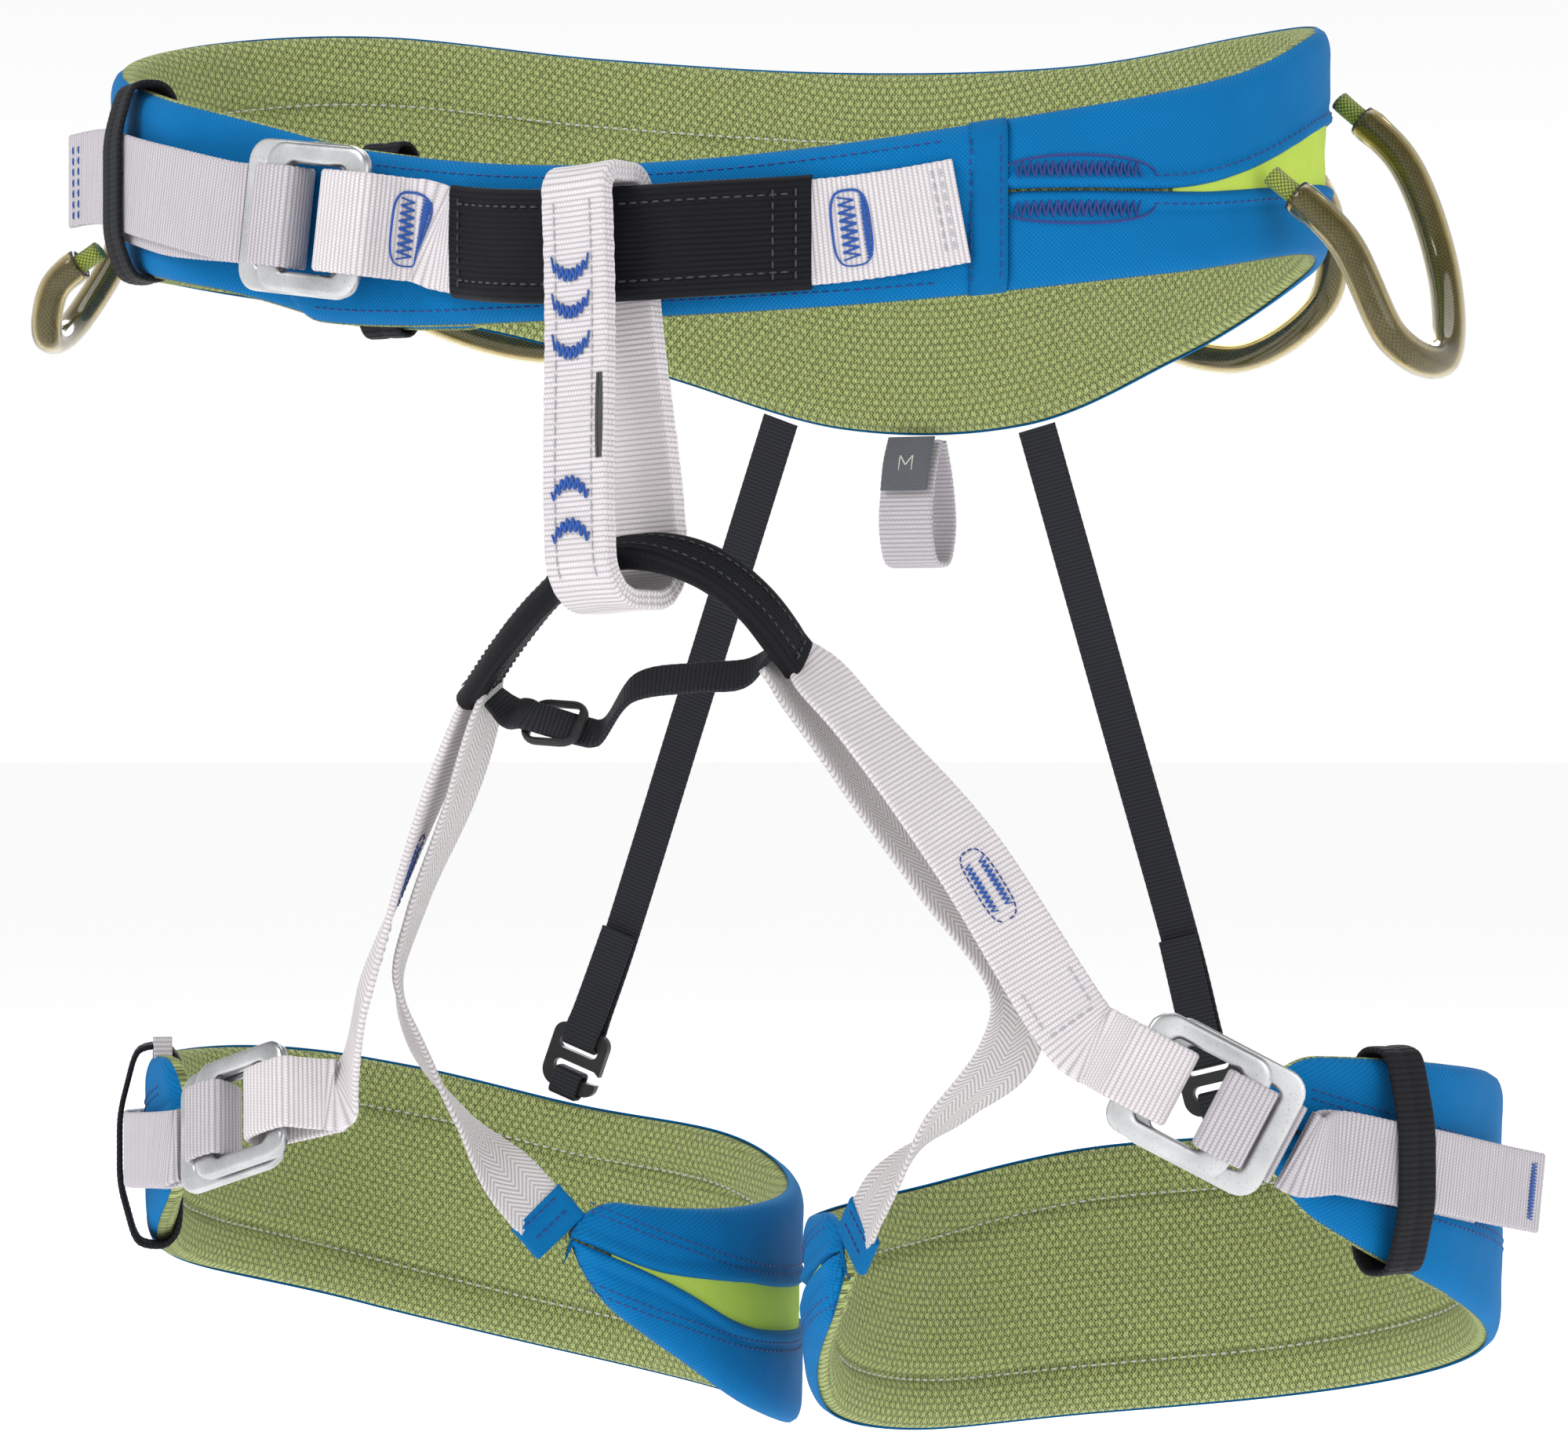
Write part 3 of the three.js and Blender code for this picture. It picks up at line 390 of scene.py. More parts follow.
class Look:
    """A material with small helpers for its nodes."""

    def __init__(self, name, roughness=0.7, metallic=0.0, sheen=0.0, specular=0.5, **sockets):
        self.mat = bpy.data.materials.new(name)
        self.mat.use_nodes = True
        self.tree = self.mat.node_tree
        self.shader = self.tree.nodes["Principled BSDF"]
        self.set("Roughness", roughness)
        self.set("Metallic", metallic)
        self.set("Sheen Weight", sheen)
        self.set("Sheen Roughness", 0.5)
        self.set("Specular IOR Level", specular)
        for key, value in sockets.items():
            self.set(key.replace("_", " "), value)
        place = self.tree.nodes.new("ShaderNodeAttribute")
        place.attribute_name = "weave"
        split = self.tree.nodes.new("ShaderNodeSeparateXYZ")
        self.link(place.outputs["Vector"], split.inputs[0])
        self.u, self.v, self.w = split.outputs
        self.weave = place.outputs["Vector"]

    def set(self, socket, value):
        self.shader.inputs[socket].default_value = value

    def link(self, source, target):
        self.tree.links.new(source, target)

    def feed(self, socket, value):
        if isinstance(value, bpy.types.NodeSocket):
            self.link(value, socket)
        else:
            socket.default_value = value

    def math(self, operation, *values):
        node = self.tree.nodes.new("ShaderNodeMath")
        node.operation = operation
        for socket, value in zip(node.inputs, values):
            self.feed(socket, value)
        return node.outputs[0]

    def wave(self, x, period, phase=0.0):
        """A sine of x, from 0 to 1, that repeats every period millimetres."""
        angle = self.math("MULTIPLY_ADD", x, 2 * math.pi / period, phase)
        return self.math("MULTIPLY_ADD", self.math("SINE", angle), 0.5, 0.5)

    def ridge(self, x, pitch, phase=0.0):
        """Round ribs of x, from 0 in the grooves to 1, one every pitch millimetres."""
        angle = self.math("MULTIPLY_ADD", x, math.pi / pitch, phase)
        return self.math("ABSOLUTE", self.math("SINE", angle))

    def noise(self, scale, detail=3.0, vector=None):
        node = self.tree.nodes.new("ShaderNodeTexNoise")
        node.inputs["Scale"].default_value = scale
        node.inputs["Detail"].default_value = detail
        self.link(vector or self.weave, node.inputs["Vector"])
        return node.outputs["Fac"]

    def mix(self, factor, a, b):
        node = self.tree.nodes.new("ShaderNodeMix")
        node.data_type = "RGBA"
        self.feed(node.inputs["Factor"], factor)
        self.feed(node.inputs["A"], a)
        self.feed(node.inputs["B"], b)
        return node.outputs["Result"]

    def between(self, x, low, high, to_low=0.0, to_high=1.0):
        node = self.tree.nodes.new("ShaderNodeMapRange")
        for socket, value in zip(node.inputs, (x, low, high, to_low, to_high)):
            self.feed(socket, value)
        return node.outputs[0]

    def paint(self, colour, height=None, depth=0.1, strength=0.6):
        """The base colour, and a bump of depth millimetres from height."""
        self.feed(self.shader.inputs["Base Color"], colour)
        if height is not None:
            bump = self.tree.nodes.new("ShaderNodeBump")
            bump.inputs["Strength"].default_value = strength
            bump.inputs["Distance"].default_value = depth * MM
            self.link(height, bump.inputs["Height"])
            self.link(bump.outputs["Normal"], self.shader.inputs["Normal"])
        return self.mat


def shade(rgb, factor):
    return tuple(min(c * factor, 1) for c in rgb[:3]) + (1,)


def plain_cloth(name, rgb, pitch=0.55, sheen=0.02, roughness=0.75, contrast=0.42):
    """A plain weave of fine yarns with soft blotches."""
    look = Look(name, roughness, sheen=sheen, specular=0.12)
    warp, weft = look.wave(look.u, 2 * pitch), look.wave(look.v, 2 * pitch)
    over = look.math("MULTIPLY", look.math("SUBTRACT", warp, 0.5), look.math("SUBTRACT", weft, 0.5))
    height = look.between(over, -0.25, 0.25)
    height = look.math("ADD", height, look.math("MULTIPLY", look.noise(2.5), 0.4))
    blotch = look.between(look.noise(0.07, 4), 0.35, 0.65)
    colour = look.mix(height, shade(rgb, 1 - contrast), shade(rgb, 1 + contrast * 0.7))
    colour = look.mix(look.math("MULTIPLY", blotch, 0.35), colour, shade(rgb, 0.86))
    return look.paint(colour, height, 0.12)


def ribbed_cloth(name, rgb, rib=1.25, yarn=0.62, contrast=0.35, sheen=0.08, roughness=0.6, lengthwise=False,
                 specular=0.3):
    """Webbing: ribs with yarns that cross them, each row shifted by half a yarn."""
    look = Look(name, roughness, sheen=sheen, specular=specular)
    run, cross = (look.v, look.u) if lengthwise else (look.u, look.v)
    row = look.math("FLOOR", look.math("DIVIDE", run, rib))
    shift = look.math("MULTIPLY", look.math("PINGPONG", row, 1.0), math.pi / 2)
    yarns = look.math("ABSOLUTE", look.math("SINE", look.math("MULTIPLY_ADD", cross, math.pi / yarn, shift)))
    ribs = look.ridge(run, rib)
    height = look.math("MULTIPLY_ADD", ribs, 0.65, look.math("MULTIPLY", yarns, 0.35))
    fuzz = look.noise(3.0, 4)
    height = look.math("MULTIPLY_ADD", fuzz, 0.25, height)
    colour = look.mix(look.between(height, 0.15, 0.95), shade(rgb, 1 - contrast), shade(rgb, 1 + 0.12))
    stain = look.between(look.noise(0.11, 5), 0.4, 0.75, 0, 0.3)
    colour = look.mix(stain, colour, shade(rgb, 0.8))
    return look.paint(colour, height, 0.22, 0.7)


def twill_cloth(name, rgb, pitch=1.5, fold=4.1, contrast=0.55):
    """Herringbone webbing: slanting ribs that turn back every fold millimetres across it."""
    look = Look(name, 0.6, sheen=0.08, specular=0.3)
    bent = look.math("PINGPONG", look.math("ADD", look.v, 50.0), fold)
    slant = look.math("ADD", look.u, look.math("MULTIPLY", bent, 1.1))
    ribs = look.ridge(slant, pitch)
    yarns = look.ridge(look.v, 0.7)
    height = look.math("MULTIPLY_ADD", ribs, 0.8, look.math("MULTIPLY", yarns, 0.2))
    colour = look.mix(height, shade(rgb, 1 - contrast), shade(rgb, 1.12))
    colour = look.mix(look.between(look.noise(0.12, 4), 0.4, 0.75, 0, 0.3), colour, shade(rgb, 0.84))
    return look.paint(colour, height, 0.3, 0.8)


def mesh_cloth(name, rgb):
    """Knitted spacer mesh: wavy wales with dark slots between them, lighter and darker in a brick pattern."""
    look = Look(name, 0.85, sheen=0.1, specular=0.15)
    sway = look.math("MULTIPLY", look.math("SINE", look.math("MULTIPLY", look.v, 2 * math.pi / 1.3)), 0.22)
    wale = look.math("ADD", look.u, sway)
    yarn = look.ridge(wale, 0.92)
    course = look.math("FLOOR", look.math("DIVIDE", look.v, 1.9))
    half_brick = look.math("MULTIPLY", look.math("PINGPONG", course, 1.0), 1.3)
    brick = look.wave(look.math("ADD", look.u, half_brick), 2.6)
    step = look.ridge(look.v, 1.9)
    loops = look.ridge(look.math("ADD", look.v, look.math("MULTIPLY", look.math("FLOOR", wale), 0.45)), 0.85)
    step_height, yarn_height = (look.math("MULTIPLY", part, 0.6) for part in (step, yarn))
    solid = look.math("MULTIPLY_ADD", brick, step_height, yarn_height)
    solid = look.math("MULTIPLY_ADD", look.noise(0.9, 3), 1.0, solid)
    height = look.between(look.math("MULTIPLY_ADD", loops, 0.3, solid), 0.8, 1.6)
    fuzz = look.noise(2.2, 3)
    colour = look.mix(height, shade(rgb, 0.1), shade(rgb, 1.2))
    tone = look.mix(look.between(look.noise(0.05, 4), 0.35, 0.65), shade(rgb, 0.9), shade(rgb, 1.08))
    colour = look.mix(look.math("MULTIPLY", fuzz, 0.25), colour, tone)
    return look.paint(colour, height, 0.6, 0.7)


def thread_look(name, rgb):
    look = Look(name, 0.55, sheen=0.2)
    ply = look.wave(look.math("ADD", look.u, look.math("MULTIPLY", look.v, 1.3)), 0.7)
    return look.paint(look.mix(ply, shade(rgb, 0.65), shade(rgb, 1.15)), ply, 0.08)


def metal_look(name):
    """Tumbled satin aluminium with fine grain, dull specks and brighter rubbed patches."""
    look = Look(name, 0.3, 1.0)
    where = look.tree.nodes.new("ShaderNodeTexCoord").outputs["Object"]
    grain = look.noise(900.0, 4, where)
    patch = look.noise(60.0, 4, where)
    speck = look.between(look.noise(1600.0, 2, where), 0.62, 0.72)
    colour = look.mix(look.between(patch, 0.35, 0.65), linear(178, 180, 182), linear(212, 213, 214))
    colour = look.mix(look.math("MULTIPLY", speck, 0.45), colour, linear(120, 122, 126))
    look.link(look.between(patch, 0.3, 0.7, 0.24, 0.4), look.shader.inputs["Roughness"])
    return look.paint(colour, look.math("ADD", grain, look.math("MULTIPLY", patch, 2.0)), 0.05, 0.35)


def plastic_look(name, rgb):
    look = Look(name, 0.42, specular=0.35)
    where = look.tree.nodes.new("ShaderNodeTexCoord").outputs["Object"]
    grain = look.noise(1400.0, 3, where)
    rough = look.between(look.noise(120.0, 3, where), 0.3, 0.7, 0.34, 0.52)
    look.link(rough, look.shader.inputs["Roughness"])
    colour = look.mix(look.noise(90.0, 3, where), shade(rgb, 0.7), shade(rgb, 1.5))
    return look.paint(colour, grain, 0.04, 0.4)


def sheath_look(name):
    """A clear, slightly smoky moulded tube."""
    look = Look(name, 0.12, Transmission_Weight=0.95, IOR=1.3, Coat_Weight=0.5, Coat_Roughness=0.08)
    smear = look.noise(0.25, 3)
    look.link(look.between(smear, 0.3, 0.7, 0.03, 0.1), look.shader.inputs["Roughness"])
    colour = look.mix(smear, linear(176, 160, 112), linear(204, 190, 142))
    return look.paint(colour, look.noise(1.4, 3), 0.01, 0.06)


def braid_look(name, light, dark):
    """A braided cord: two sets of yarns that cross on the slant."""
    look = Look(name, 0.55, sheen=0.2)
    one = look.ridge(look.math("ADD", look.u, look.v), 1.25)
    two = look.ridge(look.math("SUBTRACT", look.u, look.v), 1.25)
    height = look.math("MULTIPLY", one, two)
    colour = look.mix(look.between(height, 0.1, 0.75), dark, light)
    return look.paint(colour, height, 0.3, 0.8)


BLUE_RGB = linear(0, 108, 170)
BLUE = plain_cloth("blue face fabric", BLUE_RGB)
BLUE_TURN = plain_cloth("blue turned edge", shade(BLUE_RGB, 0.9), 0.36)
GREEN = mesh_cloth("green spacer mesh", linear(170, 182, 116))
LIME = plain_cloth("lime fabric", linear(196, 222, 92), 0.5, contrast=0.1)
WHITE = ribbed_cloth("white webbing", linear(220, 214, 217), yarn=0.8, contrast=0.55)
TWILL = twill_cloth("white herringbone webbing", linear(214, 209, 210))
GREY = ribbed_cloth("grey webbing", linear(196, 191, 197), 1.25, 0.8, contrast=0.6)
BLACK_RIB = ribbed_cloth("black lengthwise webbing", linear(22, 23, 29), 1.35, 0.8, 0.92, 0.01, 0.6, True,
                         specular=0.14)
BLACK_ELASTIC = ribbed_cloth("black elastic", linear(42, 43, 49), 1.1, 0.9, 0.9, 0.02, 0.6, specular=0.16)
BLACK_BAND = ribbed_cloth("black keeper elastic", linear(28, 29, 34), 1.5, 0.8, 0.9, 0.02, 0.65,
                          specular=0.16)
BLUE_THREAD = thread_look("royal blue thread", linear(10, 84, 178))
NAVY_THREAD = thread_look("navy thread", linear(6, 52, 138))
GREY_THREAD = thread_look("grey thread", linear(190, 192, 200))
SILVER_THREAD = thread_look("silver thread", linear(208, 214, 206))
BLACK_THREAD = thread_look("black thread", linear(52, 53, 60))
METAL = metal_look("satin aluminium")
PLASTIC = plastic_look("black moulded plastic", linear(34, 34, 36))
MARKER = plastic_look("dark wear strip", linear(64, 64, 66))
SHEATH = sheath_look("smoky clear tube")
BRAID = braid_look("olive braided cord", linear(176, 192, 70), linear(84, 96, 24))
LABEL = ribbed_cloth("grey satin label", linear(96, 98, 106), 0.5, 0.4, contrast=0.15)

SLOTS = {look.name: slot for slot, looks in {
    "blue_fabric": (BLUE, BLUE_TURN, BLUE_THREAD, NAVY_THREAD), "green_mesh": (GREEN, SILVER_THREAD),
    "lime_fabric": (LIME,), "white_webbing": (WHITE, TWILL), "grey_webbing": (GREY, GREY_THREAD),
    "black_webbing": (BLACK_RIB, BLACK_ELASTIC, BLACK_BAND, BLACK_THREAD), "aluminium": (METAL,),
    "black_plastic": (PLASTIC,), "label_fabric": (MARKER, LABEL), "clear_sheath": (SHEATH,),
    "olive_cord": (BRAID,),
}.items() for look in looks}

# ---- pads -----------------------------------------------------------------------------------------

LIP_MID, LIP_HALF = -4.6, 0.9  # a pad's pressed edge: the offset of its middle, and half its thickness
SHELL_LIFT = 3.1  # how far the blue face stands out from the edge
WAIST_CHANNEL, LEG_CHANNEL = 20.0, 14.0  # from a sewn channel of the mesh to the pad's edge
INSERT_DEPTH = 1.1  # how far the lime fabric lies below the blue one
LEG_CORNER = 18.0  # the radius of a leg pad's corners
SLIT_LAP = 0.03  # how far the belt's lime fabric goes under the blue one, as a share of the height
LEG_SLIT_LAP = 0.04
SEAM_BAND = (38.1, 42.7)  # belt angles of the band over the seam between the covers
CHANNEL_STITCH = {"radius": 0.36, "length": 1.7, "gap": 1.1, "lift": 0.3}
TOPSTITCH = {"radius": 0.2, "length": 1.7, "gap": 0.8, "lift": 0.08}
FAR = 1000  # added to the distance to an end that isn't rounded


class Pad:
    """The space of a padded band: t runs along it in millimetres, d across it from its lower edge."""

    def __init__(self, place, low, high, start, end, step=2.2):
        fine = np.linspace(start, end, 900)
        middle = place(fine, 0.5, -4.0)
        run = lengths(middle)
        self.place, self.length = place, run[-1]
        self.s = np.linspace(0, run[-1], int(run[-1] / step))
        self.param = np.interp(self.s, run, fine)
        self.tall = lambda t: high(t) - low(t)
        self.run_of = lambda t: np.interp(t, fine, run)


class Laid:
    """A face of a pad that stitches lie on: (millimetres along, millimetres above the lower edge)."""

    def __init__(self, pad, s, high, offset, facing):
        self.pad, self.s, self.high, self.offset, self.facing = pad, s, high, offset, facing

    def __call__(self, s, high):
        s, high = np.broadcast_arrays(np.asarray(s, float), high)
        where = np.clip(np.interp(s, self.s, np.arange(len(self.s))), 0, len(self.s) - 1.001)
        offset = np.empty(s.shape)
        for k, (place, h) in enumerate(zip(where, high)):
            i = int(place)
            one, two = (np.interp(h, self.high[j], self.offset[j]) for j in (i, i + 1))
            offset[k] = one + (two - one) * (place - i)
        t = np.interp(s, self.pad.s, self.pad.param)
        v = high / self.pad.tall(t)
        point = self.pad.place(t, v, offset)
        return point, unit(self.pad.place(t, v, offset + 1) - point) * self.facing


def pad_shape(s, length, tall, v, corner):
    """Millimetres from the nearest edge of a pad with round corners, and v moved inside those corners."""
    end = np.minimum(s, length - s)
    cut = corner * (1 - dome(end / corner))
    v = (cut + v * (tall - 2 * cut)) / tall
    d = np.minimum(np.minimum(v * tall - cut, tall - cut - v * tall), end)
    return v, np.maximum(d, 0)


def padding(name, pad, rides, grooves, corner=14.0, grow=0.0, seed=0.0):
    """The green mesh over foam: a crowned band with sewn channels, its edges pressed thin."""
    n_in, n_out = 44, 10
    s = pad.s[:, None]
    tall = pad.tall(pad.param)[:, None]
    extra = grow(pad.param)[:, None] if callable(grow) else grow
    share = 0.5 - 0.5 * np.cos(math.pi * np.linspace(0, 1, n_in))
    share = 0.35 * share + 0.65 * np.linspace(0, 1, n_in)
    v, d = pad_shape(s, pad.length, tall, share[None], corner)
    inner = LIP_MID - LIP_HALF - 3.6 * dome(d / 8.0) - 0.5 * smooth(d, 6, 20)
    high = tall * (1 - v)
    low = tall * v
    for distance in grooves:
        gap = (high if distance > 0 else low) - abs(distance)
        inner = inner + 2.4 * np.exp(-(gap / 1.7) ** 2) * smooth(d, 4, 9)
    vo, do = pad_shape(s, pad.length, tall, np.linspace(1, 0, n_out)[None], corner)
    outer = LIP_MID + LIP_HALF + 0.9 * dome(do / 8.0)
    v_all = np.concatenate([v, vo], 1)
    off = np.concatenate([inner, outer], 1)
    v_all = v_all + (v_all - 0.5) * 2 * extra / tall
    rows = pad.place(pad.param[:, None], v_all, off)
    wave = ripple(rows, 30, 0.9, seed) + ripple(rows, 9, 0.25, seed + 9)
    off = off + wave * np.concatenate([dome(d / 10), 0 * do], 1)
    rows = pad.place(pad.param[:, None], v_all, off)
    pad.inside = Laid(pad, pad.s, v_all[:, :n_in] * tall, off[:, :n_in], -1)
    weave = joined(s, v_all * tall, 0)
    obj = body(name, rows, weave, GREEN, rides)
    return obj


faces = {}


def panel(name, pad, rides, look, low_edge, high_edge, first=None, last=None, corner=14.0, grow=0.0, lift=0.0,
          crown=1.0, round_ends=(True, True), fold=(False, False), seed=3.0, thickness=0.8):
    """A blue outer panel between two shares of the pad's height; a folded edge turns under beside a slit."""
    n = 26
    inside = np.ones_like(pad.param, bool)
    if first is not None:
        inside &= pad.param >= first
    if last is not None:
        inside &= pad.param <= last
    t, s = pad.param[inside], pad.s[inside][:, None]
    tall = pad.tall(t)[:, None]
    extra = grow(t)[:, None] if callable(grow) else grow
    lo, hi = low_edge(t)[:, None], high_edge(t)[:, None]
    v = lo + (hi - lo) * np.linspace(0, 1, n)[None]
    start, end = s + FAR * (not round_ends[0]), pad.length - s + FAR * (not round_ends[1])
    gap = np.minimum(start, end)
    cut = corner * (1 - dome(gap / corner))
    v = np.clip(v, cut / tall, 1 - cut / tall)
    d = np.maximum(np.minimum(np.minimum(v * tall - cut, tall - cut - v * tall), gap), 0)
    off = LIP_MID + LIP_HALF + SHELL_LIFT * dome(d / 7.0) * crown + lift
    for k, edge in enumerate(fold):
        if edge:
            away = (v - lo) * tall if k == 0 else (hi - v) * tall
            off = off + 0.7 * np.exp(-((away - 1.6) / 1.6) ** 2) - 0.9 * np.exp(-(away / 0.6) ** 2)
            off = off - 0.35 * np.exp(-((away - 4.4) / 0.9) ** 2)
    wide = v + (v - 0.5) * 2 * extra / tall
    rows = pad.place(t[:, None], wide, off)
    wave = ripple(rows, 26, 0.8, seed) + ripple(rows, 8, 0.22, seed + 5)
    wave = wave * dome(d / 10)
    outside = pad.place(t[:, None], wide, off + wave)
    faces[name] = Laid(pad, s[:, 0], wide * tall, off + wave, 1)
    within = pad.place(t[:, None], wide, off + wave - thickness)
    rows = np.concatenate([outside, within[:, ::-1]], 1)
    across = wide * tall
    weave = joined(s, np.concatenate([across, across[:, ::-1]], 1), 0)
    return body(name, rows, weave, look, rides)


def belt_place(t, v, offset):
    return belt(t, offset + belt_tuck(t), belt_bottom(t) + (belt_top(t) - belt_bottom(t)) * v)


def belt_split(t):
    tall = belt_top(t) - belt_bottom(t)
    return 0.5 + (6.5 * (1 - smooth(t, 38, 68)) - 3) / tall


def belt_half(t):
    return (7.5 * smooth(t, 58, 100) * (1 - smooth(t, 255, 290)) + 0.3) / (belt_top(t) - belt_bottom(t))


def slit_top(t):
    return belt_split(t) + belt_half(t)


def slit_low(t):
    return belt_split(t) - belt_half(t)


def share(value):
    """The same share of a pad's height everywhere along it."""
    return lambda t: 0 * t + value


def front_lip(t):
    """The mesh stands above the blue face at the front of the belt and below it at the back."""
    return 0.9 * (1 - smooth(np.abs((t + 180) % 360 - 180), 80, 120)) - 0.6


def waist_pads():
    pad = Pad(belt_place, belt_bottom, belt_top, BELT_START, BELT_END)
    green = padding("waist_padding", pad, "waist_belt", [WAIST_CHANNEL], grow=front_lip)
    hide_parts("waist_lining", "waist_foam")
    cover = panel("waist_front_panel", pad, "waist_belt", BLUE, share(0), share(1), last=COVER_END,
                  round_ends=(True, False), lift=0.35)
    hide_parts("waist_front_cover")
    upper = panel("waist_panel_upper", pad, "waist_belt", BLUE, slit_top, share(1), first=COVER_END,
                  round_ends=(False, True), fold=(True, False), seed=11.0)
    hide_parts("waist_shell_upper")
    lower = panel("waist_panel_lower", pad, "waist_belt", BLUE, share(0), slit_low, first=COVER_END,
                  round_ends=(False, True), fold=(False, True), seed=17.0)
    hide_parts("waist_shell_lower")
    lime = panel("waist_hip_insert", pad, "waist_belt", LIME, lambda t: slit_low(t) - SLIT_LAP,
                 lambda t: slit_top(t) + SLIT_LAP, first=60, last=288, round_ends=(False, False),
                 lift=-INSERT_DEPTH, seed=23.0)
    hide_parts("waist_hip_web")
    band = panel("waist_seam_band", pad, "waist_belt", BLUE_TURN, share(0), share(1), *SEAM_BAND,
                 round_ends=(False, False), lift=0.75, seed=29.0, grow=0.4)
    return pad


def leg_place(side):
    def place(t, v, offset):
        t, v = np.broadcast_arrays(np.asarray(t, float), v)
        top, low = leg_top_line(t.ravel()).reshape(*t.shape, 2), leg_low_line(t.ravel()).reshape(*t.shape, 2)
        angle = low[..., 0] + (top[..., 0] - low[..., 0]) * v
        drop = leg_drop(side, angle)
        return leg(side, angle, offset, low[..., 1] + (top[..., 1] - low[..., 1]) * v + drop)
    return place


def leg_low(t):
    return leg_low_line(np.ravel(t))[:, 1].reshape(np.shape(t))


def leg_high(t):
    return leg_top_line(np.ravel(t))[:, 1].reshape(np.shape(t))


def leg_pads(name, side):
    """A leg loop's padding, with its outer panels parted by a slit that opens behind the thigh."""
    pad = Pad(leg_place(side), leg_low, leg_high, 0.0, 1.0)
    rides = f"leg_{name}"
    lip = lambda t: 0.9 * (1 - smooth(t, 0.12, 0.25)) - 0.7
    channels = [LEG_CHANNEL, -LEG_CHANNEL]
    green = padding(f"leg_{name}_padding", pad, rides, channels, LEG_CORNER, lip, 40.0 + side)
    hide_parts(f"leg_{name}_lining", f"leg_{name}_foam")
    opening = lambda t: 5.5 * smooth(t, 0.3, 0.45) * (1 - smooth(t, 0.78, 0.93)) + 0.3
    half = lambda t: opening(t) / (leg_high(t) - leg_low(t))
    low = panel(f"leg_{name}_panel_lower", pad, rides, BLUE, share(0), lambda t: 0.5 - half(t),
                corner=LEG_CORNER, fold=(False, True), seed=50.0 + side)
    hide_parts(f"leg_{name}_shell")
    panel(f"leg_{name}_panel_upper", pad, rides, BLUE, lambda t: 0.5 + half(t), share(1), corner=LEG_CORNER,
          fold=(True, False), seed=60.0 + side)
    insert = panel(f"leg_{name}_insert", pad, rides, LIME, lambda t: 0.5 - half(t) - LEG_SLIT_LAP,
                   lambda t: 0.5 + half(t) + LEG_SLIT_LAP, first=0.28, last=0.95, round_ends=(False, False),
                   lift=-INSERT_DEPTH, seed=70.0 + side)
    return pad


waist = waist_pads()
legs = {name: leg_pads(name, side) for name, side in (("left", 1), ("right", -1))}

# ---- stitches on cloth ----------------------------------------------------------------------------

def web_surface(path, lift):
    return lambda s, across: path.on(s, across, lift)


def moved(surface, s, across):
    return lambda u, w: surface(s + u, across + w)


def zigzag(surface, length, height, pitch=0.8, bow=0.0, turned=False):
    """A dense zigzag of thread; bow bends it into an arc, turned runs it across instead of along."""
    count = int(length / pitch) * 2
    u = np.linspace(-length / 2, length / 2, count + 1)
    w = height / 2 * (1 - 2 * (np.arange(count + 1) % 2)) + bow * ((2 * u / length) ** 2 - 0.5)
    return surface(w, u) if turned else surface(u, w)


def oval(surface, length, height, turned=False):
    turn = np.linspace(0, 2 * math.pi, 60)
    u = length / 2 * np.sign(np.cos(turn)) * np.abs(np.cos(turn)) ** 0.6
    w = height / 2 * np.sign(np.sin(turn)) * np.abs(np.sin(turn)) ** 0.6
    return surface(w, u) if turned else surface(u, w)


def row(surface, start, end, across):
    s = np.linspace(start, end, max(int(abs(end - start) / 2), 2))
    return surface(s, across if np.ndim(across) == 0 else np.interp(s, [start, end], across))


def column(surface, s, low, high):
    across = np.linspace(low, high, 12)
    return surface(s + 0 * across, across)


def along(face, start, end, edge, distance, step=3.0):
    """A line on a pad's face between two parameters, at a distance above (or, negative, below) an edge."""
    pad = face.pad
    s = np.arange(pad.run_of(start), pad.run_of(end), step)
    return beside(face, s, edge, distance)


def beside(face, s, edge, distance):
    t = np.interp(s, face.pad.s, face.pad.param)
    return face(s, edge(t) * face.pad.tall(t) + distance)


def hip_bartack(upper, lower):
    """The bars that close the slit's front end: on each side of it a zigzag, with an arc round it."""
    centre, half_zigzag, half_arc = waist.run_of(49.6), 15.5, 20
    tack = []
    for face, edge, sign in ((upper, slit_top, 1), (lower, slit_low, -1)):
        count = 34
        s = np.linspace(centre - half_zigzag, centre + half_zigzag, count)
        tack.append(beside(face, s, edge, sign * (4.4 + 1.9 * (1 - 2 * (np.arange(count) % 2)))))
        s = np.linspace(centre - half_arc, centre + half_arc, 60)
        bow = np.sqrt(np.clip(1 - ((s - centre) / half_arc) ** 2, 0, 1)) ** 0.5
        tack.append(beside(face, s, edge, sign * (0.4 + 7.4 * bow)))
    threads("waist_hip_bartack", tack, NAVY_THREAD, "waist_belt", 0.38, solid=True, lift=0.1)


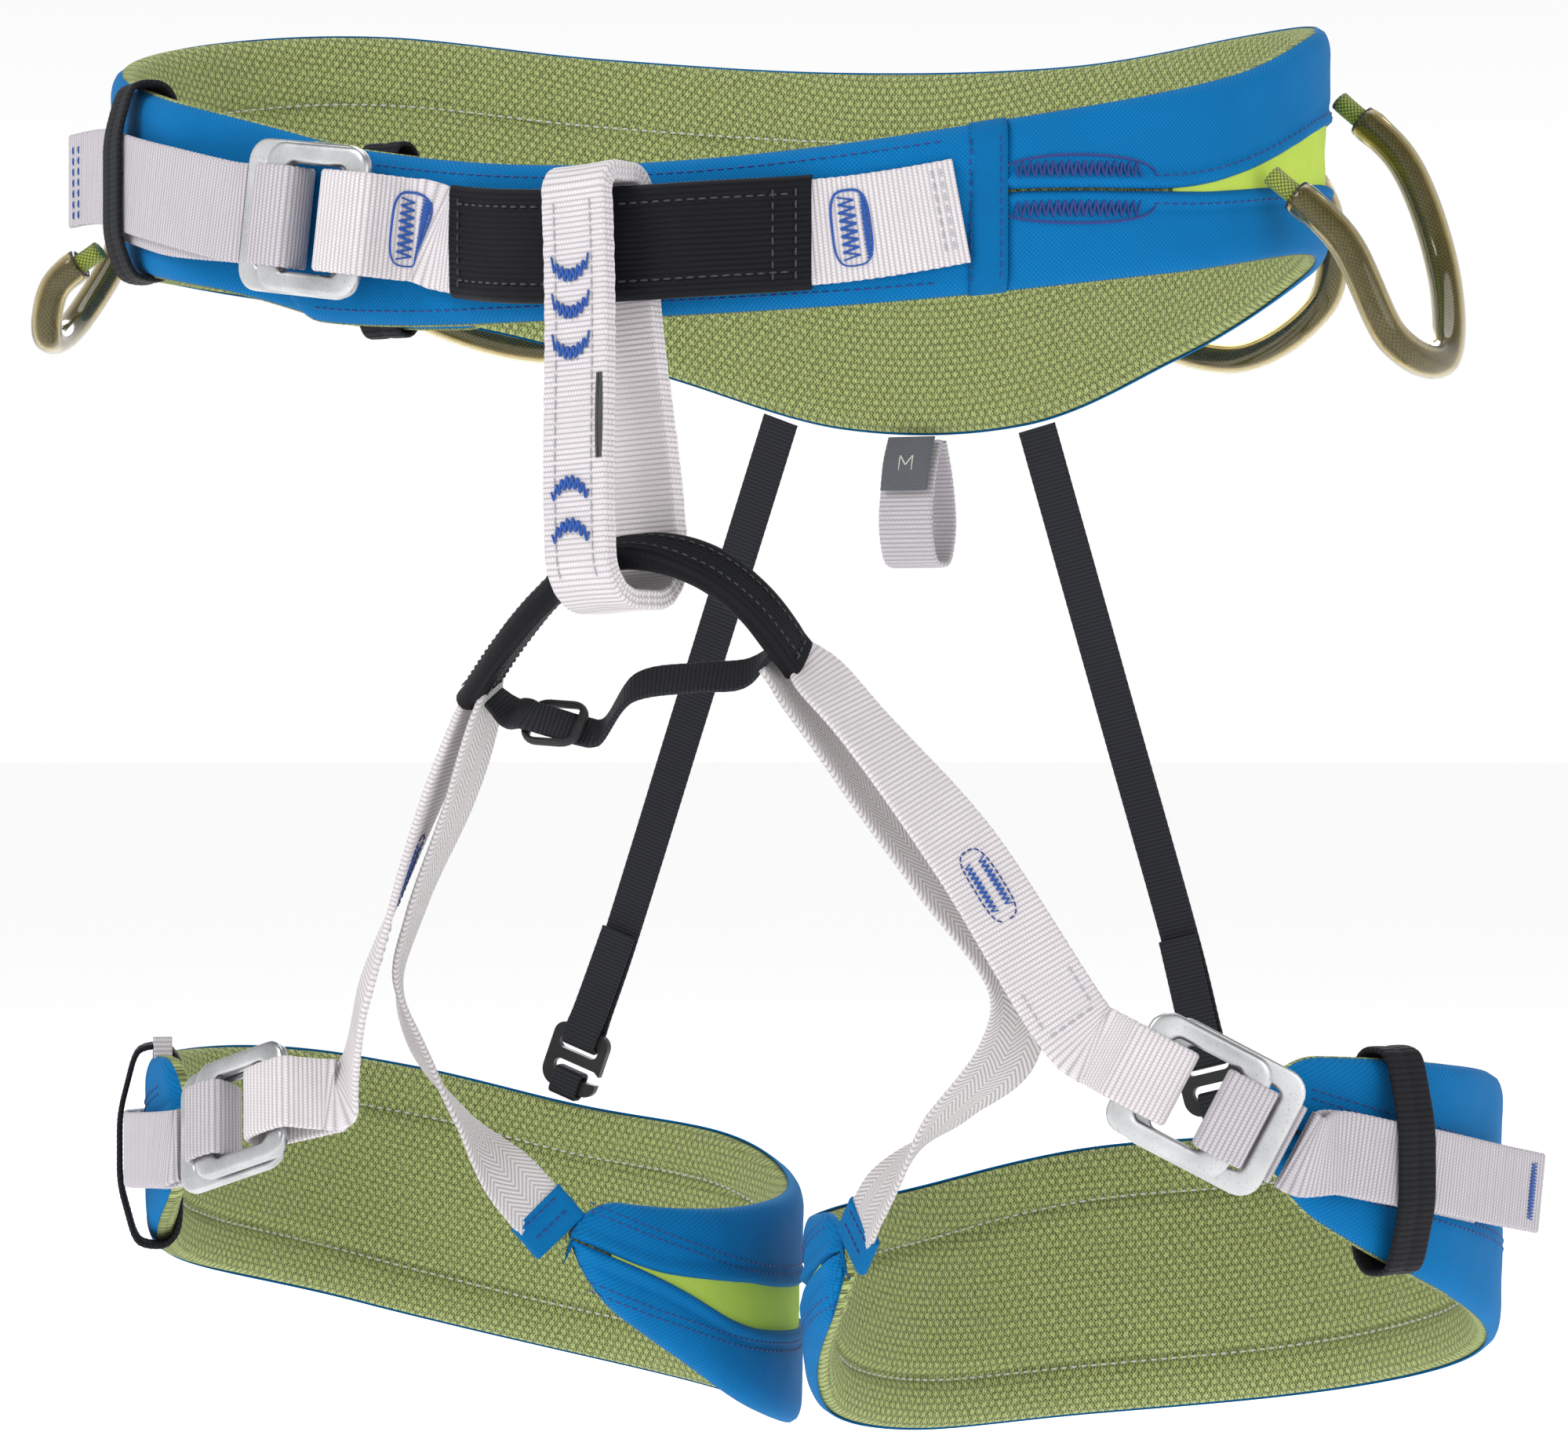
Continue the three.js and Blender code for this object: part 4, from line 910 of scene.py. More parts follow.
def pad_stitches():
    line = along(waist.inside, BELT_START + 8, BELT_END - 8, share(1), -WAIST_CHANNEL)
    threads("waist_channel_stitch", [line], SILVER_THREAD, "waist_belt", **CHANNEL_STITCH)
    panels = ("panel_upper", "panel_lower", "front_panel", "seam_band")
    upper, lower, cover, band = (faces[f"waist_{key}"] for key in panels)
    lines = [along(upper, 58, 350, slit_top, 3.1), along(lower, 58, 350, slit_low, -3.1),
             along(cover, BELT_START + 5, 37, share(1), -3.2),
             along(cover, BELT_START + 5, 37, share(0), 3.2)]
    for angle in (38.9, 41.8):  # up the seam's band, near its edges
        high = np.linspace(2.5, (belt_top(angle) - belt_bottom(angle)) - 2.5, 20)
        lines.append(band(np.full(20, waist.run_of(angle)), high))
    threads("waist_topstitch", lines, NAVY_THREAD, "waist_belt", **TOPSTITCH)
    hip_bartack(upper, lower)
    for name, pad in legs.items():
        lines = [along(pad.inside, 0.05, 0.96, share(1), -LEG_CHANNEL),
                 along(pad.inside, 0.06, 0.96, share(0), LEG_CHANNEL)]
        threads(f"leg_{name}_channel_stitch", lines, SILVER_THREAD, f"leg_{name}", **CHANNEL_STITCH)
        sides = ((faces[f"leg_{name}_panel_upper"], 1), (faces[f"leg_{name}_panel_lower"], -1))
        lines = [along(face, 0.05, 0.97, share(0.5), sign * gap)
                 for gap in (9.2, 11.4) for face, sign in sides]
        threads(f"leg_{name}_topstitch", lines, NAVY_THREAD, f"leg_{name}", **TOPSTITCH)


pad_stitches()

# ---- buckles --------------------------------------------------------------------------------------

def round_rect(x0, x1, y0, y1, r, corner=7, side=5):
    """A closed outline with the same count of points on every corner and side."""
    points = []
    corners = ((x1 - r, y0 + r, -90), (x1 - r, y1 - r, 0), (x0 + r, y1 - r, 90), (x0 + r, y0 + r, 180))
    for cx, cy, start in corners:
        turn = np.radians(np.linspace(start, start + 90, corner))
        points.append(np.stack([cx + r * np.cos(turn), cy + r * np.sin(turn)], 1))
    full = []
    for k, part in enumerate(points):
        full.append(part)
        t = np.linspace(0, 1, side + 2)[1:-1, None]
        full.append(part[-1] * (1 - t) + points[(k + 1) % 4][0] * t)
    return np.concatenate(full)


def ring_frame(name, place, outer, inner, low, high, rides, look, round_out=0.42, sides=24):
    """A cast ring whose bars are crowned, between two outlines and two heights."""
    a, b = round_rect(*inner), round_rect(*outer)
    turn = np.linspace(0, 2 * math.pi, sides, endpoint=False)
    out = np.sign(np.cos(turn)) * np.abs(np.cos(turn)) ** round_out
    rise = np.sign(np.sin(turn)) * np.abs(np.sin(turn)) ** round_out
    xy = (a[:, None] + b[:, None]) / 2 + (b[:, None] - a[:, None]) / 2 * out[None, :, None]
    z = (low + high) / 2 + (high - low) / 2 * rise[None] + 0 * xy[..., 0]
    rows = place.at(xy[..., 0], xy[..., 1], z)
    run = np.cumsum(np.linalg.norm(np.diff(a, axis=0, append=a[:1]), axis=1))
    weave = joined(run[:, None], turn[None] * 2, 0)
    return body(name, rows, weave, look, rides, closed=True)


def buckle(prefix, web, k, place, rides):
    half, window = web / 2 + 6.5 * k, web / 2 + 0.8
    rear = ring_frame(f"{prefix}_buckle_rear", place, (-20 * k, 18.5 * k, -half, half, 6 * k),
                      (-14.4 * k, 11.4 * k, -window, window, 2), 0, 2.4, rides, METAL)
    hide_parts(f"{prefix}_buckle_rear_frame")
    front = ring_frame(f"{prefix}_buckle_front", place, (-10.3 * k, 23 * k, 0.6 - half, half - 0.6, 5.5 * k),
                       (-2.6 * k, 16 * k, -window, window, 2), 3.4, 6.8, rides, METAL, 0.6)
    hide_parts(f"{prefix}_buckle_front_frame")
    bend = k * np.array([
        (-22, -1.6), (-17.5, -1.6), (-14, -1.5), (-12.5, 0.9), (-12.4, 4.4), (-11.6, 7.6), (-8.6, 8.6),
        (-4.4, 8.6), (-1.2, 7.6), (-0.6, 4.2), (-1.2, 0), (-3.4, -3.3), (-8, -4.6), (-15, -4.6), (-22, -4.6),
    ])
    path = Path(place.at(bend[:, 0], 0, bend[:, 1]), [place.y] * len(bend), power=0, clamped=True)
    fold = webbing(f"{prefix}_buckle_fold", path, web, WEB - 0.3, GREY, rides, 1.2, 0.14)
    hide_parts(f"{prefix}_buckle_strap_fold")


def anchor_bend(place, k, across):
    bend = k * np.array([
        (34, -4.2), (30, -1.8), (27, 3.2), (24.6, 7.7), (20, 8.6), (14, 8.4), (10.4, 7.2), (9.2, 4.2),
        (9.2, 0.8), (10.6, -1.6), (14.6, -2.4), (24, -4.6), (33, -6.7),
    ])
    return list(place.at(bend[:, 0], 0, bend[:, 1])), [across] * len(bend)


waist_place = Place(belt(-20.5, 5.6, 7), belt_tangent(-20.5) - 0.14 * UP, belt_normal(-20.5))
buckle("waist", WAIST_WEB, 1, waist_place, "waist_buckle")

# ---- tie-in webbing, its sleeve and the waist strap -----------------------------------------------

SLEEVE_FROM, SLEEVE_TO = -6, 25  # belt angles
SLEEVE_HALF, SLEEVE_LONG = 13.7, 88


def tie_in_z(angle):
    return -4.2 + np.where(angle < 6, 0.025, 0.008) * (angle - 6) ** 2


def tie_in_offset(angle):
    stand_off = 12.3 * smooth(angle, -10, 3) * (1 - smooth(angle, 14, 30))
    return 1.3 + 2.3 * (1 - smooth(angle, -14, -4)) + stand_off


def tie_in():
    angles = np.linspace(38, -7.6, 14)
    bend, sides = anchor_bend(waist_place, 1, -waist_place.y)
    path = Path(list(belt(angles, tie_in_offset(angles), tie_in_z(angles))) + bend, [-UP] * 14 + sides)
    web = webbing("tie_in_band", path, WAIST_WEB, WEB, WHITE, "waist_belt", 1.3, 0.13)
    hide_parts("tie_in_webbing")
    face = web_surface(path, WEB / 2)
    # the end beside the hip: two rows across it
    lines = [column(face, 3.2, -11, 11), column(face, 5.4, -11, 11)]
    threads("tie_in_end_stitch", lines, GREY_THREAD, "waist_belt", 0.24)
    # two bartacks, one on each side of the sleeve: rows of zigzag inside an oval
    places = [path.near(belt(28.2, tie_in_offset(28.2), tie_in_z(28.2))), path.near(vec(-30.2, -107.3, 2.7))]
    tacks = [zigzag(moved(face, s + shift, 0), 15, height, pitch, turned=True)
             for s in places for shift, height, pitch in ((0.6, 4.2, 1.7), (-3.6, 1.3, 0.8))]
    tacks += [oval(moved(face, s, 0), 18, 9.4, turned=True) for s in places]
    threads("tie_in_bartack", tacks, BLUE_THREAD, "waist_belt", 0.34, solid=True)

    angles = np.linspace(SLEEVE_FROM, SLEEVE_TO, 130)
    xs, ys = section(2 * SLEEVE_HALF, WEB + 2.5, 88, 5)
    ribs = 0.13 * ribs_at(xs, 1.3) * (np.abs(ys) > 1.9)
    base = tie_in_offset(angles)[:, None]
    turn, high = angles[:, None], tie_in_z(angles)[:, None]
    pull = sum(0.25 * np.exp(-((turn - end) / 1.2) ** 2) for end in (SLEEVE_FROM, SLEEVE_TO))
    sag = 0.22 * np.sin(turn * 0.9) * np.cos(xs[None] * 0.3)
    outer = belt(turn, base + ys + np.sign(ys) * (ribs - pull) + sag, high + xs)
    inner = belt(turn, base + ys * 0.5, high + xs * 0.94)
    run = np.linspace(0, SLEEVE_LONG, len(angles))[:, None]
    weave = joined(run, xs[None], 0)
    sleeve = hollow("tie_in_cover", outer, inner, weave, BLACK_RIB, "waist_belt")
    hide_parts("tie_in_sleeve")

    def cover(s, across):
        s, across = np.broadcast_arrays(np.asarray(s, float), across)
        angle = SLEEVE_FROM + (SLEEVE_TO - SLEEVE_FROM) * s / SLEEVE_LONG
        point = belt(angle, tie_in_offset(angle) + WEB / 2 + 1.42, tie_in_z(angle) + across)
        return point, unit(belt(angle, 9, 0) - belt(angle, 8, 0))
    lines = [row(cover, 3, 85, 9.2), row(cover, 3, 85, -9.2)]
    lines += [column(cover, s, -11.5, 11.5) for s in (3.4, 84.6, 79.5)]
    threads("tie_in_cover_stitch", lines, BLACK_THREAD, "waist_belt", 0.26, 1.7, 1.1)


def strap_z(angle):
    return 13.5 + 14.5 * smooth(-angle, 28, 66)


def waist_strap():
    at, across = waist_place.at, [waist_place.y] * 2 + [UP] * 6
    angles = np.linspace(-42, -62, 4)
    points = [at(-22.7, 0, -4.6), at(-27, 0, -4.6), *belt(angles, 1.4, strap_z(angles) - 3)]
    path = Path(points, across[:6])
    strap = webbing("waist_strap_band", path, WAIST_WEB, STRAP, GREY, "waist_belt", 0.95, 0.07)
    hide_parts("waist_strap")
    angles = np.linspace(-42, -60, 4)
    ends = [belt(-65.5, 6, strap_z(-65.5)), belt(-69.5, 10, strap_z(-69.5))]
    tail = Path([at(-22.7, 0, -1.6), at(-27, 0, -1.8), *belt(angles, 3.7, strap_z(angles)), *ends], across)
    strap = webbing("waist_strap_end", tail, WAIST_WEB, STRAP, GREY, "waist_belt", 0.95, 0.07)
    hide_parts("waist_strap_tail")
    face = web_surface(tail, -STRAP / 2)
    end = tail.s[-1]
    lines = [column(face, end - 3, -11, 11), column(face, end - 6, -11, 11)]
    threads("waist_strap_end_stitch", lines, BLUE_THREAD, "waist_belt", 0.26)


def rounded(corners, radius=4.5, bend=9):
    """A closed outline through corners that are rounded off."""
    corners = np.array(corners, float)
    points = []
    t = np.linspace(0, 1, bend)[:, None]
    for before, at, after in zip(np.roll(corners, 1, 0), corners, np.roll(corners, -1, 0)):
        enter, leave = before - at, after - at
        a = at + enter * min(radius / np.linalg.norm(enter), 0.45)
        b = at + leave * min(radius / np.linalg.norm(leave), 0.45)
        points.append((1 - t) ** 2 * a + 2 * t * (1 - t) * at + t * t * b)
    return np.concatenate(points)


def keeper(name, node, origin, outwards, low, high, back, skin, rides, strap=None, wall=1.4, width=12):
    """A flat elastic loop drawn tight round a pad and the strap on it; strap is (low, high, offset)."""
    place = Place(origin, np.cross(UP, outwards), outwards)
    mid = wall / 2
    low, high, back, skin = low - mid, high + mid, back - mid, skin + mid
    shoulder = [(skin, low + 4.6), (skin, high - 4.6)]
    if strap:  # drawn straight from the pad's edges to the strap's
        over = strap[2] + mid
        shoulder = [(skin + 0.8, low + 1.6), (over, strap[0] + 1),
                    (over, strap[1] - 1), (skin + 0.8, high - 1.6)]
    outline = rounded([(back, low + 4.6), (back + 3.4, low), (skin - 2.6, low), *shoulder,
                       (skin - 2.6, high), (back + 3.4, high), (back, high - 4.6)][::-1])
    ahead = np.roll(outline, -1, 0) - np.roll(outline, 1, 0)
    normal = unit(np.stack([ahead[:, 1], -ahead[:, 0]], 1))
    outline, normal = np.vstack([outline, outline[:1]]), np.vstack([normal, normal[:1]])
    run = lengths(outline)
    s = np.linspace(0, run[-1], int(run[-1] / 0.4))[:-1]
    c = picked(s, run, outline)
    n = unit(picked(s, run, normal))
    n = n * np.sign(np.sum(n[0] * (c[0] - outline.mean(0))))
    xs, ys = section(width, wall, 15, 4)
    rib = 0.14 * ribs_at(s, 1.5)[:, None]
    flat = np.clip((width / 2 - np.abs(xs)) / 1.0, 0, 1)
    dip = -0.25 * np.exp(-(xs / 1.1) ** 2) * (ys > 0)
    ys = ys + np.sign(ys) * rib * flat + dip
    uv = c[:, None] + n[:, None] * ys[..., None]
    rows = place.at(xs[None] + 0 * ys, uv[..., 1], uv[..., 0])
    weave = joined(s[:, None], xs[None], 0)
    piece = body(name, rows, weave, BLACK_BAND, rides, closed=True)
    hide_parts(node)


tie_in()
waist_strap()
KEEPER_AT, END_KEEPER_AT = -53, -17.5  # belt angles
keeper("waist_band", "waist_keeper", belt(KEEPER_AT, 0, 0), belt_normal(KEEPER_AT),
       belt_bottom(KEEPER_AT) - 0.9, belt_top(KEEPER_AT) + 1.3, -PAD_DEPTH - 0.6, 0.7, "waist_belt",
       (strap_z(KEEPER_AT) - 15.5, strap_z(KEEPER_AT) + 12.5, 5.0))
keeper("waist_end_band", "waist_end_keeper", belt(END_KEEPER_AT, -TUCK, 0), belt_normal(END_KEEPER_AT),
       belt_bottom(END_KEEPER_AT) - 1.6, belt_top(END_KEEPER_AT) + 1.8, -PAD_DEPTH - 0.5, 0.5,
       "waist_belt", wall=1.1)

# ---- belay loop -----------------------------------------------------------------------------------

BELAY_WIDTH, BELAY_THICK = 18, 4.6


def bezier(a, b, c, d, t):
    a, b, c, d = (np.array(p, float) for p in (a, b, c, d))
    t = t[:, None]
    return (1 - t) ** 3 * a + 3 * (1 - t) ** 2 * t * b + 3 * (1 - t) * t * t * c + t ** 3 * d


def belay_outline(grow):
    """The loop from its side: small round corners above, wide ones below, and two long sides."""
    def arc(cx, cy, r, quarter, n):
        turn = np.linspace(quarter, quarter + 1, n) * math.pi / 2
        return np.stack([cx + r * np.cos(turn), cy + r * np.sin(turn)], 1)

    flat = lambda a, b, n: np.array(a) + (np.array(b) - np.array(a)) * np.linspace(0, 1, n)[:, None]
    top, top_half, high = 7.4, 3.6, 2.7 + grow
    x, y, half, low = 1.5, -78, 3.9, 8.6 + grow
    side = top_half + high
    t = np.linspace(0, 1, 240)
    parts = [
        arc(top_half, top, high, 0, 24), flat((top_half, top + high), (-top_half, top + high), 18),
        arc(-top_half, top, high, 1, 24),
        bezier((-side, top), (-side, -34), (x - half - low, -50), (x - half - low, y), t),
        arc(x - half, y, low, 2, 36), flat((x - half, y - low), (x + half, y - low), 20),
        arc(x + half, y, low, 3, 36),
        bezier((x + half + low, y), (x + half + low, -50), (side, -34), (side, top), t),
    ]
    return np.concatenate([p[:-1] for p in parts])


def belay_loop():
    yaw, roll = math.radians(-10), math.radians(-3)
    turn = np.array(Matrix.Rotation(yaw, 3, "Z") @ Matrix.Rotation(roll, 3, "Y"))
    inner, outer = belay_outline(0), belay_outline(BELAY_THICK)
    middle = (inner + outer) / 2
    run = lengths(middle)
    s = np.linspace(0, run[-1], int(run[-1] / 0.36))
    pick = lambda a: picked(s, run, a)
    inner, outer = pick(inner), pick(outer)
    # the section: a flat face outwards, three layers of selvage, a flat face inwards
    w = BELAY_WIDTH / 2
    face = np.linspace(-w + 0.5, w - 0.5, 19)
    layers = np.linspace(0.06, 0.94, 19)
    bulge = 0.45 * np.abs(np.sin(np.pi * 3 * layers))
    xs = np.concatenate([face, w - 0.4 + bulge, face[::-1], -w + 0.4 - bulge])
    depth = np.concatenate([1 + 0 * face, layers[::-1], 0 * face, layers])  # 1 is outside, 0 inside
    rib = 0.16 * ribs_at(s, 1.3, 0.6)[:, None]
    thick = np.linalg.norm(outer - inner, axis=1)[:, None]
    cup = 0.25 * np.cos(np.clip(xs / w, -1, 1) * 3.1)[None] * (depth == 1) * 0.4
    push = rib * np.where(depth == 1, 1, np.where(depth == 0, -1, 0)) - cup
    at = depth[None] + push / thick
    plane = inner[:, None] * (1 - at[..., None]) + outer[:, None] * at[..., None]
    fray = ripple(joined(s, 0, 0), 2.5, 0.25, 90)[:, None] * np.sign(xs) * (np.abs(xs) > w - 0.6)
    wide = xs[None] + fray

    def world(back, side, height):
        local = np.stack([-side, back, height], -1)
        return local @ turn.T + vec(25.5, -116.6, 0)
    rows = world(plane[..., 0], -wide, plane[..., 1])
    weave = joined(s[:, None], xs[None], 0)
    loop = body("belay_band", rows, weave, WHITE, "belay_ring", closed=True)
    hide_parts("belay_loop")

    # the outer face in front, by height
    outer_line = belay_outline(BELAY_THICK + 0.2)
    front = outer_line[(outer_line[:, 0] < -3.5)]
    front = front[np.argsort(front[:, 1])]

    def front_face(across, height):
        across, height = np.broadcast_arrays(np.asarray(across, float), height)
        back = np.interp(height, front[:, 1], front[:, 0])
        point = world(back, -across, height)
        return point, np.broadcast_to(turn @ vec(0, -1, 0), point.shape)
    arcs = [zigzag(moved(front_face, -0.8, height), 10.6, 3.1, 1.5, bow)
            for height, bow in ((-10.6, 3.24), (-19.4, 3.24), (-29, 3.24), (-63, -3.51), (-73, -3.51))]
    threads("belay_bartacks", arcs, BLUE_THREAD, "belay_ring", 0.42, solid=True)
    lines = [front_face(np.full(40, x), np.linspace(-84, 6, 40)) for x in (-5.2, 5.2)]
    threads("belay_stitch", lines, GREY_THREAD, "belay_ring", 0.19, 2.4, 0.7, 0.1)
    side = [front_face(np.full(20, x), np.linspace(-56, -36, 20)) for x in (7.0, 7.9)]
    threads("belay_wear_strip", side, MARKER, "belay_ring", 0.6, solid=True, lift=-0.1)


belay_loop()

# ---- leg bridge -----------------------------------------------------------------------------------

def bridge():
    stops = [
        (-22, -85, -108.5, 0, 0.95, 0.3), (-8, -97, -98, 0, 0.93, 0.36), (7, -107.5, -87.5, 0, 0.92, 0.4),
        (21, -114, -79.4, 0, 0.92, 0.4), (37, -115.9, -77, 0, 0.92, 0.4), (48, -107.6, -80, 0, 0.82, 0.57),
        (56, -96.5, -88, 0, 0.75, 0.66), (62, -85, -100.5, 0, 0.75, 0.66),
    ]
    points, sides = [vec(*s[:3]) for s in stops], [vec(*s[3:]) for s in stops]
    points[0] = points[0] + unit(points[0] - points[1]) * 2.5
    points[-1] = points[-1] + unit(points[-1] - points[-2]) * 2.5
    path = Path(points, sides)
    inner = webbing("bridge_band", path, 10.8, 3.6, WHITE, "leg_bridge", 1.3, 0.1)
    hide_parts("bridge_webbing")
    xs, ys = section(13.8, 6.2, 44, 6)
    ribs = 0.12 * ribs_at(xs, 1.2) * (np.abs(ys) > 2.9)
    pinch = 1 - 0.07 * np.exp(-((path.s - 3) / 2) ** 2) - 0.07 * np.exp(-((path.s[-1] - 3 - path.s) / 2) ** 2)
    ys = (ys + np.sign(ys) * ribs)[None] * pinch[:, None] * (1 - 0.12 * (xs[None] / 6.9) ** 2)
    ys = ys + ripple(path.p, 14, 0.35)[:, None] * np.sign(ys)
    outer = path.p[:, None] + path.across[:, None] * xs[None, :, None] + path.out[:, None] * ys[..., None]
    inside = path.p[:, None] + (outer - path.p[:, None]) * 0.9 * 0.93
    weave = joined(path.s[:, None], xs[None], 0)
    sleeve = hollow("bridge_cover", outer, inside, weave, BLACK_RIB, "leg_bridge")
    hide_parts("bridge_sleeve")
    end = path.s[-1]
    for key, sign in (("front", 1), ("back", -1)):
        face = web_surface(path, sign * 3.05)
        lines = [row(face, 2.5, end - 2.5, across) for across in (2.8, -2.8)]
        lines += [column(face, s, -4.5, 4.5) for s in (3, end - 3)]
        threads(f"bridge_stitch_{key}", lines, BLACK_THREAD, "leg_bridge", 0.2, 1.5, 1.0)

    place = Place((0, -88, -117.5), (1, -0.12, 0.1), (0.1, -0.75, 0.66))
    at = place.at
    points = [
        vec(-19.5, -84, -110.5), vec(-14.5, -83.5, -114.5), at(-6.5, 0, 2.3), at(0, 0, 0), at(6.5, 0, -2.3),
        at(11, 0, -2.5), vec(22, -89, -109), vec(38, -87.5, -106.5), vec(50, -86, -105.5), vec(58, -87, -100),
    ]
    sides = [vec(0, 0.8, 0.5), vec(0, 0.66, 0.75)] + [place.y] * 4
    sides += [vec(0, 0.6, 0.8)] * 3 + [vec(0.2, 0.75, 0.6)]
    cross = webbing("cross_band", Path(points, sides), 9, 1.4, BLACK_ELASTIC, "leg_bridge", 1.1, 0.12)
    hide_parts("cross_strap")
    slider = ring_frame("cross_slider", place, (-8, 8, -7, 7, 5), (-5.4, 5.4, -5.3, 5.3, 1.6), -0.9, 0.9,
                        "leg_bridge", PLASTIC, 0.6)
    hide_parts("cross_strap_slider")


bridge()

# ---- leg loops' webbing ---------------------------------------------------------------------------

RISERS = {
    "left": {
        "outer": [
            (60.5, -84.5, -99.5, 0, 0.8, 0.6), (64.5, -82.5, -103, 0, 0.8, 0.6),
            (82, -80.5, -122, 0, 0.8, 0.6), (103.5, -78.5, -148, 0.3, 0.6, 0.74),
        ],
        "inner": [
            (56, -86.5, -103, 0, 0.95, 0.3), (60.5, -84, -109, 0, 0.95, 0.3), (76, -78, -132, 0, 0.95, 0.3),
            (95, -73.5, -156, 0.3, 0.9, 0.3), (112, -66, -181, 0.5, 0.8, 0.1),
            (107.5, -60, -198, 0.6, 0.7, -0.3), (90, -55, -214, 0.5, 0.7, 0.2),
            (70, -50.5, -234, -0.4, 0.6, 0.68), (61.4, -43.9, -247, -0.54, 0.49, 0.7),
        ],
    },
    "right": {
        "outer": [
            (-22.5, -83.5, -106.5, 0, 0.97, 0.25), (-26, -81, -112.3, 0, 0.97, 0.25),
            (-36.5, -79.5, -133, -0.05, 0.95, 0.3), (-47, -79.5, -158, -0.15, 0.85, 0.5),
            (-56, -82, -185, -0.3, 0.7, 0.65),
        ],
        "inner": [
            (-18.5, -86, -108, 0, 1, 0.1), (-20.5, -84, -113, 0, 1, 0.1), (-31, -77.5, -136, 0, 1, 0.1),
            (-46, -72.5, -164, -0.2, 0.95, 0.1), (-54, -67, -183, -0.4, 0.85, -0.2),
            (-52, -62, -199, -0.5, 0.8, -0.3), (-41, -56.5, -219, -0.2, 0.8, 0),
            (-28.5, -50.5, -236, 0.4, 0.6, 0.68), (-21.5, -43.9, -247, 0.54, 0.49, 0.7),
        ],
    },
}
LEG_BUCKLE = {
    "left": Place((161, -67, -207.5), (-0.8, -0.36, 0.46), (0.41, -0.91, 0)),
    "right": Place((-97, -73.5, -219.5), (0.93, -0.215, 0.3), (-0.3, -0.91, 0.29)),
}
HOOK = {"left": vec(106, 107.5, -215.6), "right": vec(-88, 107.5, -215.6)}
ELASTIC_TOP = {"left": (60, 159), "right": (-19.5, 186.6)}  # x, and the belt angle
RISER_TACK, RISER_END = {"left": 75.5, "right": 53.5}, {"left": 113.5, "right": 79.5}  # along the riser
POCKET_THICK = WEB + 1.1
LAYER_LIFT = 1.65  # half of the distance between a leg strap's two layers


def leg_strap_z(side, angle):
    return -213 - 0.32 * (angle - 25) if side > 0 else -229 - 0.1 * (angle - 25)


def leg_risers(name, side):
    """The riser from the bridge to the buckle, whose path is returned, and the one to the leg pad's inner end."""
    rides = f"leg_{name}"
    split = lambda stops: ([s[:3] for s in stops], [unit(vec(*s[3:])) for s in stops])
    points, sides = split(RISERS[name]["outer"])
    bend, across = anchor_bend(LEG_BUCKLE[name], LEG_SIZE, -side * LEG_BUCKLE[name].y)
    outer = Path([*points, *bend], [*sides, *across])
    riser = webbing(f"{rides}_riser", outer, LEG_WEB - 1, WEB, WHITE, rides, 1.3, 0.15, pinch=0.4)
    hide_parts(f"leg_{name}_riser_outer")
    inner = Path(*split(RISERS[name]["inner"]))
    riser = webbing(f"{rides}_riser_branch", inner, LEG_WEB - 4, WEB, TWILL, rides, 1.3, 0.1, pinch=0.35)
    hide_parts(f"leg_{name}_riser_inner")
    # the blue pocket that the branch is sewn into, at the leg pad's inner end
    last, ahead = inner.p[-1], unit(inner.p[-1] - inner.p[-6])
    pocket = Path([last + ahead * k for k in np.array([-8.0, -4.5, -1.0, 2.5])], [inner.across[-1]] * 4)
    webbing(f"{rides}_pocket", pocket, LEG_WEB - 3, POCKET_THICK, BLUE_TURN, rides, 2.6, 0.05)
    for key, sign in (("in", 1), ("out", -1)):
        on = web_surface(pocket, sign * POCKET_THICK / 2)
        lines = [column(on, s, -5.5, 5.5) for s in (1.6, 6)]
        threads(f"{rides}_pocket_stitch_{key}", lines, NAVY_THREAD, rides, 0.24, 1.6, 0.6)
    return outer


def riser_stitches(name, path):
    """The riser's bartacks, and the box where its end folds back."""
    rides, front = f"leg_{name}", web_surface(path, WEB / 2)
    tack, end = RISER_TACK[name], RISER_END[name]
    tacks = [zigzag(moved(front, tack, shift), 13, 1.9, 1.2) for shift in (-2, 2)]
    threads(f"{rides}_riser_tacks", tacks, BLUE_THREAD, rides, 0.28, solid=True)
    edge = oval(moved(front, tack, 0), 19, 7.4)
    threads(f"{rides}_riser_tack_edges", [edge], NAVY_THREAD, rides, 0.22, 1.3, 0.5)
    lines = [row(front, end - 12, end, across) for across in (6.5, -6.5)] + [column(front, end, -6.5, 6.5)]
    threads(f"{rides}_riser_end_stitch", lines, GREY_THREAD, rides, 0.24, 1.8, 0.8)


